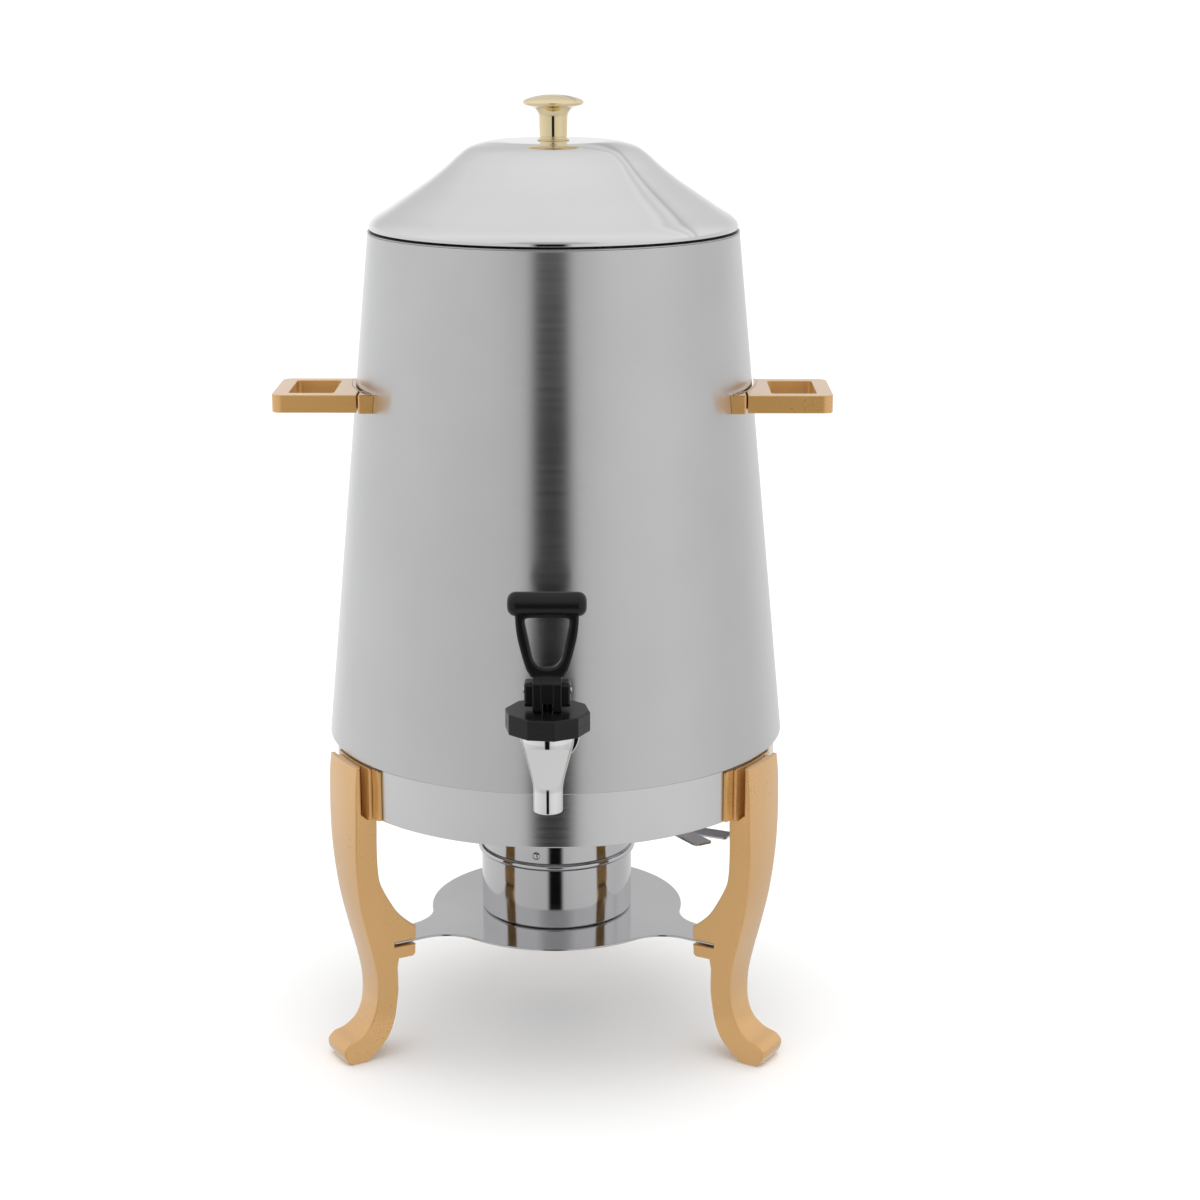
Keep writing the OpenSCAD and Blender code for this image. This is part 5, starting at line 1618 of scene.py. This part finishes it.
    def surroundings(self) -> None:
        """Build the pale room that the metal mirrors, with its dark gap in front."""
        world = bpy.data.worlds.new("studio_room")
        bpy.context.scene.world = world
        world.use_nodes = True
        tree = world.node_tree
        tree.nodes.clear()
        place = add_node(tree, "TexCoord").outputs["Generated"]
        split = add_node(tree, "SeparateXYZ", {"Vector": place}).outputs
        flip = add_node(tree, "Math", {0: split["Y"], 1: -1.0}, operation="MULTIPLY")
        heading = add_node(tree, "Math", {0: split["X"], 1: flip.outputs[0]}, operation="ARCTAN2")
        share = self._share(tree, heading.outputs[0], -math.pi, math.pi, "LINEAR")
        around = self._greys(tree, share, [((angle + 180) / 360, level) for angle, level in self.around])
        level = self._by_height(tree, split, around)
        edge = self._lamp_edge(tree, place, split["Z"])
        room = self._mixed(tree, 1.0, level, edge, "MULTIPLY")
        mirrored = add_node(tree, "Background", {"Color": room})
        backdrop = add_node(tree, "Background", {"Color": (1, 1, 1, 1)})
        seen = add_node(tree, "LightPath")
        choice = add_node(tree, "MixShader", {"Fac": seen.outputs["Is Camera Ray"],
                                              1: mirrored.outputs["Background"],
                                              2: backdrop.outputs["Background"]})
        add_node(tree, "OutputWorld", {"Surface": choice.outputs["Shader"]})

    @staticmethod
    def _greys(tree: NodeTree, source: Socket, stops: Outline) -> Socket:
        """Add a ramp of greys, from the place and the brightness of each stop."""
        return add_ramp(tree, source, [(at, (level, level, level)) for at, level in stops])

    @staticmethod
    def _share(tree: NodeTree, value: Socket, start: float, end: float, shape: str) -> Socket:
        """Find how far a value has come on its way between two ends.

        Args:
            tree: Node tree of the room.
            value: Socket with the value.
            start: Value that gives zero.
            end: Value that gives one.
            shape: Shape of the way between them.

        Returns:
            The socket with the share.
        """
        return add_node(tree, "MapRange", {"Value": value, "From Min": start, "From Max": end},
                        interpolation_type=shape).outputs["Result"]

    @staticmethod
    def _mixed(tree: NodeTree, share: float | Socket, first: object, second: object,
               way: str = "MIX") -> Socket:
        """Mix two colours.

        Args:
            tree: Node tree of the room.
            share: Share of the second colour, or the socket that feeds it.
            first: First colour, or its socket.
            second: Second colour, or its socket.
            way: Way of mixing.

        Returns:
            The socket with the mix.
        """
        return add_node(tree, "Mix", {"Factor": share, 6: first, 7: second}, data_type="RGBA",
                        blend_type=way).outputs[2]

    def _by_height(self, tree: NodeTree, split: bpy.types.NodeOutputs, around: Socket) -> Socket:
        """Shade the room by height: plain and dim below, as the walls say around, soft above.

        Args:
            tree: Node tree of the room.
            split: Sockets with the parts of the direction.
            around: Socket with the brightness of the walls.

        Returns:
            The socket with the shaded colour.
        """
        rise = self._share(tree, split["Z"], -1.0, 1.0, "LINEAR")
        walls = self._mixed(tree, 1.0, around, self._greys(tree, rise, self.dim_below), "MULTIPLY")
        down = self._share(tree, split["Z"], *self.under_from, "SMOOTHSTEP")
        low = self._mixed(tree, down, walls, (self.under,) * 3 + (1,))
        depth = self._share(tree, split["Y"], -1.0, 1.0, "LINEAR")
        high = self._share(tree, split["Z"], *self.ceiling_from, "SMOOTHSTEP")
        return self._mixed(tree, high, low, self._greys(tree, depth, self.ceiling))

    def _lamp_edge(self, tree: NodeTree, place: Socket, height: Socket) -> Socket:
        """Draw the dim edge of a wide lamp on the right, high in the room.

        Args:
            tree: Node tree of the room.
            place: Socket with the direction.
            height: Socket with the direction's upward part.

        Returns:
            The socket with a factor for the room's brightness.
        """
        turn = math.radians(self.edge_turn)
        across = add_node(tree, "VectorMath", {0: place, 1: (math.cos(turn), math.sin(turn), 0)},
                          operation="DOT_PRODUCT")
        above = self._share(tree, height, *self.edge_from, "SMOOTHSTEP")
        band = self._greys(tree, across.outputs["Value"], self.lamp_edge)
        return self._mixed(tree, above, (1, 1, 1, 1), band)

    def build(self) -> None:
        """Set up the camera, the floor, the lights, the room and the plain colour view."""
        self.camera()
        self.floor()
        self.lights()
        self.surroundings()
        scene = bpy.context.scene
        scene.view_settings.view_transform = "Standard"
        scene.view_settings.look = "None"
        scene.view_settings.exposure = 0.0


def main() -> None:
    """Build the studio and each sub-assembly in order."""
    logging.basicConfig(level=logging.INFO, format="%(message)s")
    Studio().build()
    body = UrnBody()
    tap = Tap()
    for assembly in (Stand(), body, SideHandle(body), Lid(), tap, Lever(tap), Burner()):
        LOG.info("building %s", type(assembly).__name__)
        assembly.build()


if __name__ == "__main__":
    main()
